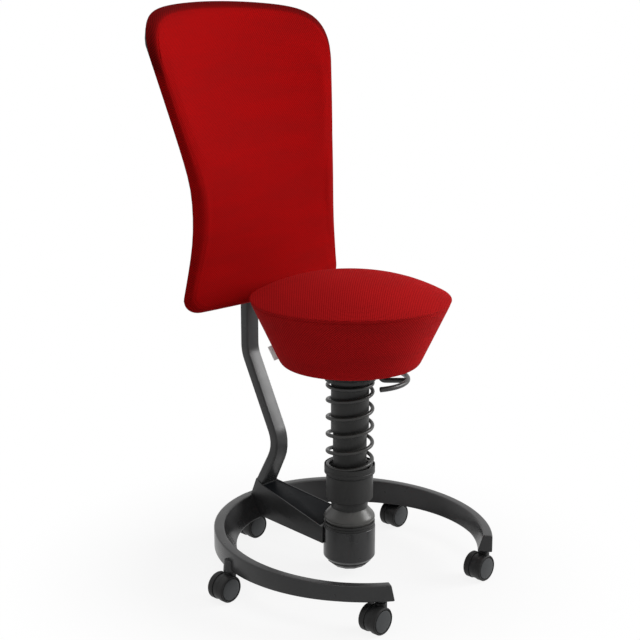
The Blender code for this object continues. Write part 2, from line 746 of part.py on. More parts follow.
def back_point(s, t, inset, inset_low, depth):
    """Point of the backrest: s across from -1 to 1, t up from 0 to 1."""
    low = BACK_BOTTOM + inset_low + BACK_BOTTOM_CORNER * corner_drop(s, BACK_BOTTOM_SPREAD)
    high = BACK_TOP - inset - BACK_TOP_BOW * s ** 2 - BACK_TOP_CORNER * top_drop(s)
    z = low + t * (high - low)
    y = back_front(z) + back_hollow(z) * (1 - s * s) + depth
    return Vector((s * (back_half(z) - inset), y, z))


def sheet_solid(front, back):
    """Slab between two surfaces, each given over s and t."""
    bm = bmesh.new()
    bmesh.ops.create_grid(bm, x_segments=BACK_COLUMNS, y_segments=BACK_ROWS, size=0.5)
    near = list(bm.verts)
    grown = bmesh.ops.extrude_face_region(bm, geom=list(bm.faces))
    far = [v for v in grown["geom"] if isinstance(v, bmesh.types.BMVert)]
    for verts, surface in ((near, front), (far, back)):
        for vert in verts:
            s = vert.co.x * 2
            closer = s * (1 + BACK_EDGE_CROWD * (1 - s * s))
            vert.co = surface(closer, vert.co.y + 0.5)
    return to_mesh(bm)


def make_backrest():
    """Padding with its slanted band, and the shell behind it."""
    def panel(s, t):
        crown = BACK_CROWN * (1 - s ** 4) * (1 - (2 * t - 1) ** 4)
        return back_point(s, t, BACK_INSET, BACK_INSET_LOW, -crown)

    def rim(s, t):
        return back_point(s, t, 0.0, 0.0, BACK_THICK)

    add_piece("back_cushion", sheet_solid(panel, rim), "red_fabric", root)
    near = BACK_THICK + SHELL_GAP

    def shell_front(s, t):
        return back_point(SHELL_SHARE * s, 0.5 + SHELL_SHARE * (t - 0.5), 0.0, 0.0, near)

    def shell_rear(s, t):
        return shell_front(s, t) + Vector((0.0, SHELL_THICK, 0.0))

    shell = add_piece("back_shell", sheet_solid(shell_front, shell_rear), "column_black", root)
    pad = box_mesh((-BRACKET_HALF, shell_at_bracket() + SHELL_GAP, BRACKET_BOTTOM),
                   (BRACKET_HALF, bracket_front() - GAP, BRACKET_TOP))
    combine(shell, add_cutter("shell_pad", pad, root), "UNION")
    for number, (x, z) in enumerate(screw_places(), 1):
        hole = lying_rod_mesh(SCREW_R + RUN, bracket_front() - SCREW_BITE - GAP, bracket_front() + GAP,
                              "Y", (x, z))
        combine(shell, add_cutter(f"shell_screw_hole_{number}", hole, root), "DIFFERENCE")


def shell_at_bracket():
    """Front of the shell behind the middle of the bracket's upper edge."""
    return back_front(BRACKET_TOP) + back_hollow(BRACKET_TOP) + BACK_THICK + SHELL_GAP


def bracket_front():
    """Face of the bracket that lies on the shell's pad."""
    return shell_at_bracket() + SHELL_THICK + PAD_PROUD + GAP


def bracket_rear():
    """Face of the bracket that lies on the upright."""
    return BAR_SHOULDER[0] - BAR_THICK / 2 - GAP


def bolt_tip():
    """How far the upright's bolts reach into the bracket."""
    return bracket_rear() - BOLT_BITE


def bolt_heights():
    """Heights of the two bolts through the upright."""
    return (BRACKET_BOTTOM + BOLT_MARGIN, BRACKET_TOP - BOLT_MARGIN)


def screw_places():
    """X and Z of the four screws at the bracket's corners."""
    out = BRACKET_HALF - SCREW_MARGIN
    heights = (BRACKET_BOTTOM + SCREW_MARGIN, BRACKET_TOP - SCREW_MARGIN)
    return [(side * out, z) for side in (-1, 1) for z in heights]


def add_headed(name, radius, head_radius, head, length, at):
    """Screw along Y with its head to the rear; at is the middle of the head's seat."""
    profile = [(0.0, head), (head_radius, head), (head_radius, 0.0), (radius, 0.0),
               (radius, -length), (0.0, -length)]
    screw = add_piece(name, turned(profile, False), "bright_steel", root, at)
    screw.rotation_euler = (-math.pi / 2, 0.0, 0.0)
    spin(screw, SMALL_ROUND)


def make_bracket():
    """Plate and neck between shell and upright, with its screws and bolts."""
    front, rear = bracket_front(), bracket_rear()
    plate = box_mesh((-BRACKET_HALF, front, BRACKET_BOTTOM),
                     (BRACKET_HALF, front + BRACKET_BASE, BRACKET_TOP))
    bracket = add_piece("back_bracket", plate, "column_black", root)
    neck = box_mesh((-BRACKET_NECK_HALF, front + BRACKET_BASE / 2, BRACKET_BOTTOM + BRACKET_BASE),
                    (BRACKET_NECK_HALF, rear, BRACKET_TOP - BRACKET_BASE))
    combine(bracket, add_cutter("bracket_neck", neck, root), "UNION")
    for number, (x, z) in enumerate(screw_places(), 1):
        hole = lying_rod_mesh(SCREW_R + RUN, front - GAP, front + BRACKET_BASE + GAP, "Y", (x, z))
        combine(bracket, add_cutter(f"bracket_screw_hole_{number}", hole, root), "DIFFERENCE")
        seat = front + BRACKET_BASE + GAP
        length = seat - front + SCREW_BITE
        add_headed(f"bracket_screw_{number}", SCREW_R, SCREW_HEAD_R, SCREW_HEAD, length, (x, seat, z))
    for number, z in enumerate(bolt_heights(), 1):
        hole = lying_rod_mesh(BOLT_R + RUN, bolt_tip() - GAP, rear + GAP, "Y", (0.0, z))
        combine(bracket, add_cutter(f"bracket_bolt_hole_{number}", hole, root), "DIFFERENCE")
        seat = BAR_SHOULDER[0] + BAR_THICK / 2 + GAP
        length = seat - bolt_tip()
        add_headed(f"upright_bolt_{number}", BOLT_R, BOLT_HEAD_R, BOLT_HEAD, length, (0.0, seat, z))


# Hub and tilt joint


def make_hub():
    """Housing, collar, boot and the block that carries the joint's bowl."""
    inner = SEAT_BLOCK_R + GAP
    floor = HUB_BOTTOM + HUB_FLOOR
    hole = SPINDLE_R + RUN
    chamfer = HUB_CHAMFER
    add_turned("hub_housing", [
        (HUB_R - GAP * 5, HUB_TOP), (HUB_R, HUB_TOP - GAP * 5), (HUB_R, HUB_BOTTOM + chamfer * 1.4),
        (HUB_R - chamfer * 0.45, HUB_BOTTOM + chamfer * 0.45), (HUB_R - chamfer, HUB_BOTTOM),
        (hole, HUB_BOTTOM), (hole, floor), (inner, floor), (inner, HUB_TOP)], "painted_grey", root)
    collar_low = HUB_TOP + GAP
    collar_high = collar_low + COLLAR_HEIGHT
    wall = COLLAR_R - (BOOT_FOOT_R - BOOT_WALL)
    add_turned("hub_collar", tube_profile(COLLAR_R, wall, collar_low, collar_high), "column_black", root)
    foot_low = collar_high + GAP
    foot_high = foot_low + BOOT_FOOT_HEIGHT
    boot_inner = BOOT_R - BOOT_WALL
    mouth = math.asin(BOOT_MOUTH_R / BOOT_R)
    mouth_inner = math.asin(BOOT_MOUTH_R / boot_inner)
    edge_inner = math.acos((foot_low - PIVOT_Z) / boot_inner)
    outer_side = sphere_arc(PIVOT_Z, BOOT_R, mouth, BOOT_SHOULDER_FROM, 5)
    inward, high = outer_side[-1]
    straight = (high - foot_high) * BOOT_SIDE
    for turn in (math.pi / 8, math.pi / 4, math.pi * 3 / 8, math.pi / 2):
        out = inward + (BOOT_SHOULDER_R - inward) * math.sin(turn)
        outer_side.append((out, foot_high + straight + (high - foot_high - straight) * math.cos(turn)))
    inner_side = sphere_arc(PIVOT_Z, boot_inner, edge_inner, mouth_inner, 5)
    groove = [(BOOT_SHOULDER_R, foot_high), (BOOT_FOOT_R, foot_high), (BOOT_FOOT_R, foot_low)]
    add_turned("joint_boot", outer_side + groove + inner_side, "rubber", root)
    bowl = BALL_R + BALL_FIT + BOWL_WALL + GAP
    lowest = math.pi - math.asin(hole / bowl)
    cradle = sphere_arc(PIVOT_Z, bowl, lowest, math.pi / 2, 5)
    add_turned("ball_seat", [
        (SEAT_BLOCK_R, PIVOT_Z), (SEAT_BLOCK_R, floor + GAP), (hole, floor + GAP)] + cradle,
        "column_black", root)


def make_adjuster():
    """Knob under the hub and the spindle that it turns."""
    turn = pivot("adjuster_axis", root, (0.0, 0.0, 0.0))
    top = HUB_BOTTOM - GAP
    bottom = top - KNOB_HEIGHT
    bore = SPINDLE_R + GAP
    add_turned("adjuster_knob", [
        (KNOB_R, top), (KNOB_R, top - KNOB_HEIGHT * 0.35), (KNOB_TIP_R, bottom), (bore, bottom), (bore, top)],
        "painted_grey", turn, steps=KNOB_SIDES)
    bowl_low = PIVOT_Z - BALL_R - BALL_FIT - BOWL_WALL
    spindle = rod_mesh(SPINDLE_R, bottom + GAP * 5, bowl_low - SPINDLE_TOP_GAP)
    add_piece("adjuster_spindle", spindle, "bright_steel", turn)


def make_tilt_joint():
    """Rubber bowl that rocks fore and aft, and the ball stem that rocks sideways in it."""
    rock = pivot("tilt_bowl_axis", root, (0.0, 0.0, PIVOT_Z))
    inside = BALL_R + BALL_FIT
    outside = inside + BOWL_WALL
    inner_side = sphere_arc(PIVOT_Z, inside, math.pi, math.pi / 2, 5)
    outer_side = sphere_arc(PIVOT_Z, outside, math.pi / 2, math.pi, 5)
    add_turned("tilt_bowl", inner_side + outer_side, "rubber", rock, closed=False)
    swing = pivot("column_axis", rock, (0.0, 0.0, PIVOT_Z))
    shoulder = math.asin(STEM_SHAFT_R / BALL_R)
    ball = sphere_arc(PIVOT_Z, BALL_R, shoulder, math.pi, 8)
    top = CUP_FLOOR - GAP * 4
    add_turned("tilt_stem", [(0.0, top), (STEM_SHAFT_R, top)] + ball, "bright_steel", swing, closed=False)
    return swing


# Spring column


def make_cup(swing):
    """Spring cup with its neck, the preload ring on it and the lower guide tube."""
    skin = BOOT_R + GAP
    neck_edge = math.asin(NECK_R / skin)
    bore = STEM_SHAFT_R + GAP
    bore_edge = math.asin(bore / skin)
    under = sphere_arc(PIVOT_Z, skin, neck_edge, bore_edge, 5)
    neck_low = under[0][1]
    neck_high = neck_low + NECK_HEIGHT
    side_low = CUP_TOP - CUP_SHOULDER
    tube_bore = LOWER_TUBE_R + GAP
    bend = [(CUP_R - (CUP_R - NECK_R) * (1 - math.cos(a)), side_low - (side_low - neck_high) * math.sin(a))
            for a in (math.pi / 8, math.pi / 4, math.pi * 3 / 8)]
    add_turned("spring_cup", [
        (CUP_R, CUP_TOP), (CUP_R, side_low)] + bend + [(NECK_R, neck_high)] + under
        + [(bore, CUP_FLOOR), (tube_bore, CUP_FLOOR), (tube_bore, CUP_TOP)], "column_black", swing)
    low = CUP_TOP + GAP
    shelf = low + RING_LIP_FLOOR
    top = low + RING_LIP_HEIGHT
    inner = RING_LIP_R - RING_LIP_WALL
    turn = pivot("preload_axis", swing, (0.0, 0.0, low))
    soft = RING_LIP_WALL * 0.6
    add_turned("preload_ring", [
        (RING_LIP_R - soft, top), (RING_LIP_R, top - soft), (RING_LIP_R, low + soft),
        (RING_LIP_R - soft, low), (tube_bore, low), (tube_bore, shelf), (inner, shelf), (inner, top)],
        "column_black", turn)
    tube = tube_profile(LOWER_TUBE_R, LOWER_TUBE_WALL, CUP_FLOOR + GAP, LOWER_TUBE_TOP)
    add_turned("lower_tube", tube, "column_black", swing)


def coil_points():
    """Middle line of the coil spring: a flat turn at each end and an even pitch between."""
    bottom = CUP_TOP + GAP + RING_LIP_FLOOR + GAP + WIRE_R
    top = SPRING_PLATE_BOTTOM - GAP - WIRE_R
    active = (top - bottom - 2 * END_PITCH) / COIL_PITCH
    turns = active + 2
    count = round(turns * COIL_POINTS)
    points = []
    for i in range(count + 1):
        turn = turns * i / count
        if turn < 1:
            z = bottom + END_PITCH * turn
        elif turn > turns - 1:
            z = top - END_PITCH * (turns - turn)
        else:
            z = bottom + END_PITCH + COIL_PITCH * (turn - 1)
        angle = COIL_TOP_ANGLE - math.tau * (turns - turn)
        points.append(Vector((COIL_R * math.cos(angle), COIL_R * math.sin(angle), z)))
    return points


def least_coil_gap(points):
    """Clear distance between neighbouring turns of the wire."""
    apart = COIL_POINTS // 2
    nearest = min((points[j] - points[i]).length
                  for i in range(len(points)) for j in range(i + apart, len(points)))
    return nearest - 2 * WIRE_R


def make_spring_and_sleeve(swing):
    """Coil spring, and the sleeve, plate and carrier tube that rest on it."""
    bounce = pivot("bounce_axis", swing, (0.0, 0.0, SPRING_PLATE_BOTTOM))
    points = coil_points()
    add_piece("coil_spring", wire_curve(points, WIRE_R, 1), "spring_steel", bounce)
    print(f"least gap between spring turns: {least_coil_gap(points) * 1000:.2f} mm")
    top = SPRING_PLATE_BOTTOM - GAP
    sleeve = tube_profile(SLEEVE_R, SLEEVE_WALL, SLEEVE_BOTTOM, top)
    add_turned("upper_tube", sleeve, "column_black", bounce)
    plate_top = SPRING_PLATE_BOTTOM + SPRING_PLATE_THICK
    bore = GAS_R + GAP
    plate = tube_profile(SPRING_PLATE_R, SPRING_PLATE_R - bore, SPRING_PLATE_BOTTOM, plate_top)
    add_turned("spring_plate", plate, "column_black", bounce)
    outer = LOWER_TUBE_R - LOWER_TUBE_WALL - GAP
    inner = outer - CARRIER_WALL
    bottom = carrier_bottom()
    hole = ROD_R + GAP
    floor = bottom + CARRIER_FLOOR
    add_turned("carrier_tube", [
        (outer, top), (outer, bottom), (hole, bottom), (hole, floor), (inner, floor), (inner, top)],
        "bright_steel", bounce)
    bush = tube_profile(inner - GAP, inner - GAP - bore, top - BUSH_HEIGHT, top)
    add_turned("guide_bush", bush, "label_white", bounce)
    shoulder = floor + GAP
    gland_top = gas_bottom() + GAS_GLAND
    piston = gland_top + LIFT + GAP * 10
    piston_r = GAS_R - GAS_WALL - PISTON_CLEAR
    piston_top = piston + PISTON_HEIGHT
    add_turned("piston_rod", [
        (0.0, piston_top), (piston_r, piston_top), (piston_r, piston), (ROD_R, piston),
        (ROD_R, shoulder + ROD_SHOULDER), (ROD_SHOULDER_R, shoulder + ROD_SHOULDER),
        (ROD_SHOULDER_R, shoulder), (ROD_R, shoulder), (ROD_R, bottom), (0.0, bottom)],
        "bright_steel", bounce, closed=False, steps=SMALL_ROUND)
    return bounce


def carrier_bottom():
    """Underside of the carrier tube, clear of the cup's floor at full bounce."""
    return CUP_FLOOR + BOUNCE + CARRIER_DROP_GAP


def gas_bottom():
    """Underside of the gas cylinder in its lowest place."""
    return carrier_bottom() + CARRIER_FLOOR + GAP + ROD_SHOULDER + GAP


def make_gas_lift(bounce):
    """Gas cylinder that carries the seat, and its release button."""
    lift = pivot("lift_axis", bounce, (0.0, 0.0, GAS_TOP))
    bore = GAS_R - GAS_WALL
    gland = ROD_R + RUN
    low = gas_bottom()
    head_low = GAS_TOP - GAS_HEAD
    slot = GAS_TOP - BUTTON_DEPTH
    hole = BUTTON_R + RUN
    add_turned("gas_cylinder", [
        (0.0, slot), (hole, slot), (hole, GAS_TOP), (TAPER_R, GAS_TOP), (GAS_R, GAS_TOP - TAPER_LENGTH),
        (GAS_R, low), (gland, low), (gland, low + GAS_GLAND), (bore, low + GAS_GLAND), (bore, head_low),
        (0.0, head_low)], "bright_steel", lift, closed=False)
    press = pivot("button_axis", lift, (0.0, 0.0, GAS_TOP))
    travel = LEVER_PIVOT_OUT * math.sin(LEVER_TRAVEL) * 1.25
    button = rod_mesh(BUTTON_R, slot + travel, GAS_TOP + BUTTON_PROUD)
    add_piece("release_button", button, "label_white", press)
    return lift


# Seat


def skirt_ends():
    """Radius and height where the seat's straight skirt begins and ends."""
    low_z = SEAT_BOTTOM_Z + SEAT_CORNER
    high_z = SEAT_RIM_Z - SEAT_EDGE
    share = SEAT_CORNER / (high_z - SEAT_BOTTOM_Z)
    low_r = SEAT_BOTTOM_R + (SEAT_R - SEAT_BOTTOM_R) * share
    return Vector((low_r, low_z)), Vector((SEAT_R, high_z))


def seat_profile():
    """Outside of the seat cushion, from the crown's top down to the bottom."""
    rim_r = SEAT_R - SEAT_EDGE
    crown = []
    for i in range(SEAT_CROWN_POINTS + 1):
        share = i / SEAT_CROWN_POINTS
        crown.append((rim_r * share, SEAT_RIM_Z + SEAT_CROWN * (1 - share ** SEAT_CROWN_POWER)))
    low, high = skirt_ends()
    edge = [(SEAT_R - SEAT_EDGE * 0.3, SEAT_RIM_Z - SEAT_EDGE * 0.25), tuple(high)]
    corner = [tuple(low), (SEAT_BOTTOM_R - SEAT_CORNER * 0.05, SEAT_BOTTOM_Z + SEAT_CORNER * 0.35),
              (SEAT_BOTTOM_R - SEAT_CORNER * 0.5, SEAT_BOTTOM_Z)]
    return crown + edge + corner


def make_seat(lift):
    """Cushion, plate with its taper hub, and tag, which swivel on the gas cylinder."""
    swivel = pivot("swivel_axis", lift, (0.0, 0.0, SEAT_BOTTOM_Z))
    plate_low = SEAT_BOTTOM_Z + GAP
    plate_top = plate_low + PLATE_THICK
    under = plate_top + GAP
    recess = PLATE_R + PLATE_FIT
    pocket_top = GAS_TOP + POCKET_ROOM
    inside = [(recess, SEAT_BOTTOM_Z), (recess, under), (POCKET_R, under),
              (POCKET_R, pocket_top), (0.0, pocket_top)]
    add_turned("seat_cushion", seat_profile() + inside, "red_fabric", swivel,
               closed=False, steps=SEAT_ROUND)
    bore = GAS_R + GAP
    taper_low = GAS_TOP - TAPER_LENGTH
    top_bore = TAPER_R + (GAS_R - TAPER_R) * (GAS_TOP - SEAT_HUB_TOP) / TAPER_LENGTH + GAP
    plate = add_turned("seat_plate", [
        (SEAT_HUB_R, SEAT_HUB_TOP), (SEAT_HUB_R, plate_top), (PLATE_R, plate_top), (PLATE_R, plate_low),
        (bore, plate_low), (bore, taper_low), (top_bore, SEAT_HUB_TOP)], "column_black", swivel)
    reach = LEVER_R + LEVER_SLOT_MARGIN
    swing = (GAS_TOP - LEVER_GRIP_Z) * math.sin(LEVER_TRAVEL) * 1.3
    slot = box_mesh((LEVER_DROP_OUT - reach, -reach, SEAT_BOTTOM_Z - PLATE_THICK),
                    (LEVER_DROP_OUT + reach + swing, reach, plate_top + PLATE_THICK))
    slot.transform(Matrix.Rotation(LEVER_ANGLE, 4, "Z"))
    combine(plate, add_cutter("lever_slot", slot, swivel), "DIFFERENCE")
    low, high = skirt_ends()
    slope = math.atan2(high.x - low.x, high.y - low.y)
    tag_z = SEAT_BOTTOM_Z + TAG_RISE
    radius = low.x + math.tan(slope) * (tag_z - low.y)
    tag = box_mesh((GAP, -TAG_THICK / 2, -TAG_LENGTH / 2),
                   (GAP + TAG_WIDTH, TAG_THICK / 2, TAG_LENGTH / 2))
    lean = Matrix.Translation((radius, 0.0, tag_z)) @ Matrix.Rotation(slope, 4, "Y")
    tag.transform(Matrix.Rotation(TAG_ANGLE, 4, "Z") @ lean)
    add_piece("seat_tag", tag, "label_white", swivel)
    return swivel


def lever_pivot_z():
    """Height of the lever's pin: the finger just clears the button."""
    return GAS_TOP + BUTTON_PROUD + LEVER_BUTTON_GAP + LEVER_R


def make_lever(swivel):
    """Bent lever with its grip, the pin it turns on and the bracket that holds the pin."""
    high = lever_pivot_z()
    turn = Matrix.Rotation(LEVER_ANGLE, 4, "Z")
    at = turn @ Vector((LEVER_PIVOT_OUT, 0.0, high))
    axis = pivot("lever_axis", swivel, at)
    grip_reach = GRIP_CENTRE[0] + math.sqrt(GRIP_R ** 2 - GRIP_CENTRE[1] ** 2)
    corners = [(-LEVER_TIP, 0.0, high), (LEVER_DROP_OUT, 0.0, high),
               (LEVER_DROP_OUT, 0.0, LEVER_GRIP_Z), (grip_reach, 0.0, LEVER_GRIP_Z)]
    stalk = wire_mesh(rounded_path(corners, LEVER_BEND, 4), LEVER_R, 2)
    arc = []
    for i in range(GRIP_POINTS + 1):
        angle = GRIP_FROM + (GRIP_TO - GRIP_FROM) * i / GRIP_POINTS
        arc.append((GRIP_CENTRE[0] + GRIP_R * math.cos(angle),
                    GRIP_CENTRE[1] + GRIP_R * math.sin(angle), LEVER_GRIP_Z))
    grip = wire_mesh(arc, LEVER_R, 2)
    eye = lying_rod_mesh(LEVER_EYE_R, -LEVER_EYE_HALF, LEVER_EYE_HALF, "Y", (LEVER_PIVOT_OUT, high))
    hole = lying_rod_mesh(PIN_R + RUN, -LEVER_EYE_HALF * 3, LEVER_EYE_HALF * 3, "Y",
                          (LEVER_PIVOT_OUT, high))
    for mesh in (stalk, grip, eye, hole):
        mesh.transform(turn)
    stalk.transform(Matrix.Translation(-at))
    lever = add_piece("height_lever", stalk, "column_black", axis, at)
    combine(lever, add_cutter("lever_grip", grip, axis), "UNION")
    combine(lever, add_cutter("lever_eye", eye, axis), "UNION")
    pin_hole = add_cutter("lever_pin_hole", hole, swivel)
    combine(lever, pin_hole, "DIFFERENCE")
    make_lever_bracket(swivel, high, turn, pin_hole)


def make_lever_bracket(swivel, high, turn, pin_hole):
    """U-shaped bracket on the taper hub, and the lever's pin in it."""
    low = SEAT_HUB_TOP + GAP
    inner = LEVER_EYE_HALF + GAP
    outer = inner + EAR_THICK
    near = LEVER_PIVOT_OUT - EAR_R
    floor = low + BRACKET_PLATE
    top = high + EAR_R
    strip = [(-outer, low), (outer, low), (outer, top), (inner, top), (inner, floor),
             (-inner, floor), (-inner, top), (-outer, top)]
    bent = to_mesh(prism(strip, lambda y, z: (near, y, z), (2 * EAR_R, 0.0, 0.0)))
    bent.transform(turn)
    bracket = add_piece("lever_bracket", bent, "bright_steel", swivel)
    combine(bracket, pin_hole, "DIFFERENCE")
    pin = lying_rod_mesh(PIN_R, -outer, outer, "Y", (LEVER_PIVOT_OUT, high))
    pin.transform(turn)
    add_piece("lever_pin", pin, "bright_steel", swivel)


# Castors


def wheel_profile():
    """Half section of a wheel about its axle: cap outside, blind bore inside."""
    half = WHEEL_WIDTH / 2
    soft = WHEEL_EDGE
    bore = AXLE_R + RUN
    tread_top = half - WHEEL_DISH
    bottom = -half
    deep = bottom + AXLE_IN_WHEEL + GAP
    return [(0.0, half), (WHEEL_CAP_R, tread_top), (WHEEL_R - soft, tread_top),
            (WHEEL_R, tread_top - soft), (WHEEL_R, bottom + soft), (WHEEL_R - soft, bottom),
            (bore, bottom), (bore, deep), (0.0, deep)]


def housing_outline():
    """Side outline of a castor housing: hood over the wheels and neck round the stem."""
    centre = Vector((-CASTOR_TRAIL, WHEEL_R))
    hood = []
    for i in range(HOOD_POINTS + 1):
        angle = HOOD_FROM + (HOOD_TO - HOOD_FROM) * i / HOOD_POINTS
        hood.append(tuple(centre + HOOD_R * Vector((math.cos(angle), math.sin(angle)))))
    top = CASTOR_HEIGHT - GAP - FLANGE_HEIGHT / 2
    front = NECK_FRONT
    return [(front, top)] + hood + [(-CASTOR_TRAIL + AXLE_R * 2, HOOD_FLOOR_GAP),
                                    (0.0, WHEEL_R * 0.6), (front, WHEEL_R * 1.2)]


def make_castor(index, name):
    """Housing with its axle stubs, stem and two wheels of one castor."""
    at = castor_place(index)
    swivel = pivot(f"castor_{name}_axis", root, at)
    half = HOUSING_WIDTH / 2
    body = prism(housing_outline(), lambda x, z: (x, -half, z), (0.0, 2 * half, 0.0))
    housing = add_piece(f"castor_{name}_housing", to_mesh(body), "castor_black", swivel, at)
    top = CASTOR_HEIGHT - GAP
    stem_low = top - STEM_IN_HOUSING
    axle_half = half + WHEEL_SIDE_GAP + AXLE_IN_WHEEL
    flange = rod_mesh(FLANGE_R, top - FLANGE_HEIGHT, top, at.x, at.y)
    bore = rod_mesh(STEM_R + GAP, stem_low - GAP, CASTOR_HEIGHT, at.x, at.y)
    axle_at = at + Vector((-CASTOR_TRAIL, 0.0, WHEEL_R))
    axle = lying_rod_mesh(AXLE_R, at.y - axle_half, at.y + axle_half, "Y", (axle_at.x, WHEEL_R))
    combine(housing, add_cutter(f"castor_{name}_flange", flange, swivel), "UNION")
    combine(housing, add_cutter(f"castor_{name}_axle", axle, swivel), "UNION")
    combine(housing, add_cutter(f"castor_{name}_bore", bore, swivel), "DIFFERENCE")
    stem = rod_mesh(STEM_R, stem_low, CASTOR_HEIGHT + STEM_IN_RING)
    add_piece(f"castor_{name}_stem", stem, "bright_steel", swivel, at)
    out = half + WHEEL_SIDE_GAP + WHEEL_WIDTH / 2
    for side, end in ((-1, "front"), (1, "rear")):
        wheel = add_piece(f"castor_{name}_wheel_{end}", turned(wheel_profile(), False), "tread", swivel,
                          axle_at + Vector((0.0, side * out, 0.0)))
        wheel.rotation_euler = (-side * math.pi / 2, 0.0, 0.0)
        spin(wheel, WHEEL_ROUND)


# Assembly


def centre_on_footprint():
    """Move the stool so that the middle of its plan lies on the origin."""
    bpy.context.view_layer.update()
    graph = bpy.context.evaluated_depsgraph_get()
    corners = []
    for piece in parts.objects:
        if piece.type == "EMPTY":
            continue
        mesh = piece.evaluated_get(graph).to_mesh()
        corners += [piece.matrix_world @ vert.co for vert in mesh.vertices]
        piece.evaluated_get(graph).to_mesh_clear()
    for axis in (0, 1):
        values = [corner[axis] for corner in corners]
        root.location[axis] = -(min(values) + max(values)) / 2
    print("column axis at", [round(v, 5) for v in root.location])


clear_scene()
parts = new_collection(STOOL)
cutters = new_collection("cutters")
materials = make_materials()
root = pivot("stool_root", None, (0.0, 0.0, 0.0))

make_ring_half("ring_half_right", -1, (1, 2))
make_ring_half("ring_half_left", 1, (3, 4))
make_arm()
make_upright()
make_backrest()
make_bracket()
make_hub()
make_adjuster()
column = make_tilt_joint()
make_cup(column)
sleeve_body = make_spring_and_sleeve(column)
gas_body = make_gas_lift(sleeve_body)
seat_body = make_seat(gas_body)
make_lever(seat_body)
for castor_index, castor_name in enumerate(CASTOR_NAMES):
    make_castor(castor_index, castor_name)
centre_on_footprint()
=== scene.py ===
"""Dresses the packed balance stool: cushions, covers, coated metal, castors and the studio."""
import json
import math
from contextlib import contextmanager

import bpy
import numpy as np
from bpy.props import FloatProperty, FloatVectorProperty, IntProperty, PointerProperty
from mathutils import Matrix, Vector


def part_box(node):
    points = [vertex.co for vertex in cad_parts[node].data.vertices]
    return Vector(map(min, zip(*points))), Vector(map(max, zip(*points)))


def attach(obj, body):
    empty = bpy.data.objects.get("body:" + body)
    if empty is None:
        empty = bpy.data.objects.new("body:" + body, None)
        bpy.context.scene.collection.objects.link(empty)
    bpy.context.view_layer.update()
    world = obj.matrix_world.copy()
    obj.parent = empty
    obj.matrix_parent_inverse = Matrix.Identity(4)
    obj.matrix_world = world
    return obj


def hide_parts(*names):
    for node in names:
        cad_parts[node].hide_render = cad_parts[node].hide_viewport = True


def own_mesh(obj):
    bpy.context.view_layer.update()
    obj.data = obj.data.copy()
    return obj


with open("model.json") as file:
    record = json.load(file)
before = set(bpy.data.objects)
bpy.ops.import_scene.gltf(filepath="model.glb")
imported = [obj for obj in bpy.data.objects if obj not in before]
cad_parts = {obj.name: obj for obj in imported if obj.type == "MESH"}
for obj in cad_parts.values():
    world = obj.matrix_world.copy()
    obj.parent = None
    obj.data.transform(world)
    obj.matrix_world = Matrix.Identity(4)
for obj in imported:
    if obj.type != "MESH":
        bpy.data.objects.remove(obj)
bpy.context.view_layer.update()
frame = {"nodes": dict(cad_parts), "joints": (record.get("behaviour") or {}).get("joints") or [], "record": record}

bl_info = {
    "name": "Balance stool dresser",
    "version": (1, 0, 0),
    "blender": (4, 5, 0),
    "location": "View3D > Sidebar > Stool",
    "description": "Builds the visible pieces of a sprung balance stool over its packed frame",
    "category": "Object",
}

JOINTS = {joint["name"]: joint for joint in frame["joints"]}
NODE_BODY = {node: body for body, nodes in frame["record"]["behaviour"]["bodies"].items() for node in nodes}
AXIS = Vector((*JOINTS["seat_swivel"]["pos_m"][:2], 0.0))
MERGE = 0.00001                      # points closer than this become one
FLAT_ANGLE = math.radians(0.6)       # faces that meet flatter than this become one
FIT = 0.0003                         # gap between pieces that touch
PRESSURE, CLOTH_STEPS, CLOTH_PASSES = 4.0, 20, 14    # stuffing, its simulated steps and smoothing
THREADS = 290.0                      # of the mesh cover, in each metre
TIP = 0.002                          # smallest circle of a turned piece, which is then capped
CASTORS = ("back", "right_rear", "right_front", "left_front", "left_rear")
FINISHES = {}


def length(name, description, default):
    """A size in metres that shows in the sidebar."""
    return FloatProperty(name=name, description=description, default=default, precision=4,
                         unit="LENGTH", subtype="DISTANCE")


def number(name, description, default, **limits):
    """A share, slope or level that shows in the sidebar."""
    return FloatProperty(name=name, description=description, default=default, **limits)


def angular(name, description, degrees):
    """An angle that shows in the sidebar."""
    return FloatProperty(name=name, description=description, default=math.radians(degrees), subtype="ANGLE")


def colour(name, description, default):
    """A linear colour that shows in the sidebar."""
    return FloatVectorProperty(name=name, description=description, default=default, size=3,
                               min=0.0, max=1.0, subtype="COLOR")


# Settings


class StoolColours(bpy.types.PropertyGroup):
    """Colours of the stool's finishes."""
    yarn: colour("Yarn", "Raised threads of the backrest's red mesh cover", (0.485, 0.0030, 0.0034))
    seat_yarn: colour("Seat yarn", "Raised threads of the seat's red mesh cover", (0.54, 0.0105, 0.0120))
    mesh_hole: colour("Mesh holes", "Shade between the threads", (0.16, 0.0022, 0.0026))
    band: colour("Band", "Cover along the backrest's slanted band", (0.185, 0.0020, 0.0024))
    coat: colour("Powder coat", "Coated ring, arm, upright and hub", (0.034, 0.0343, 0.0350))
    lid: colour("Lid", "Satin lid on the arm", (0.0085, 0.0095, 0.0110))
    moulded: colour("Moulded black", "Column, tubes, cup and shell", (0.025, 0.025, 0.0245))
    rubber: colour("Rubber", "Boot and bowl of the joint", (0.062, 0.0615, 0.0570))
    wire: colour("Spring wire", "Coated coil spring", (0.030, 0.0295, 0.028))
    nylon: colour("Nylon", "Castor housings", (0.0120, 0.0123, 0.0126))
    cap: colour("Wheel caps", "Outer faces of the castor wheels", (0.043, 0.046, 0.048))
    tread: colour("Tread", "Running faces of the castor wheels", (0.0105, 0.0105, 0.0105))
    steel: colour("Steel", "Bolts, pins and stems", (0.52, 0.52, 0.53))
    label: colour("Label", "Blank woven tag and white plastic", (0.92, 0.92, 0.91))


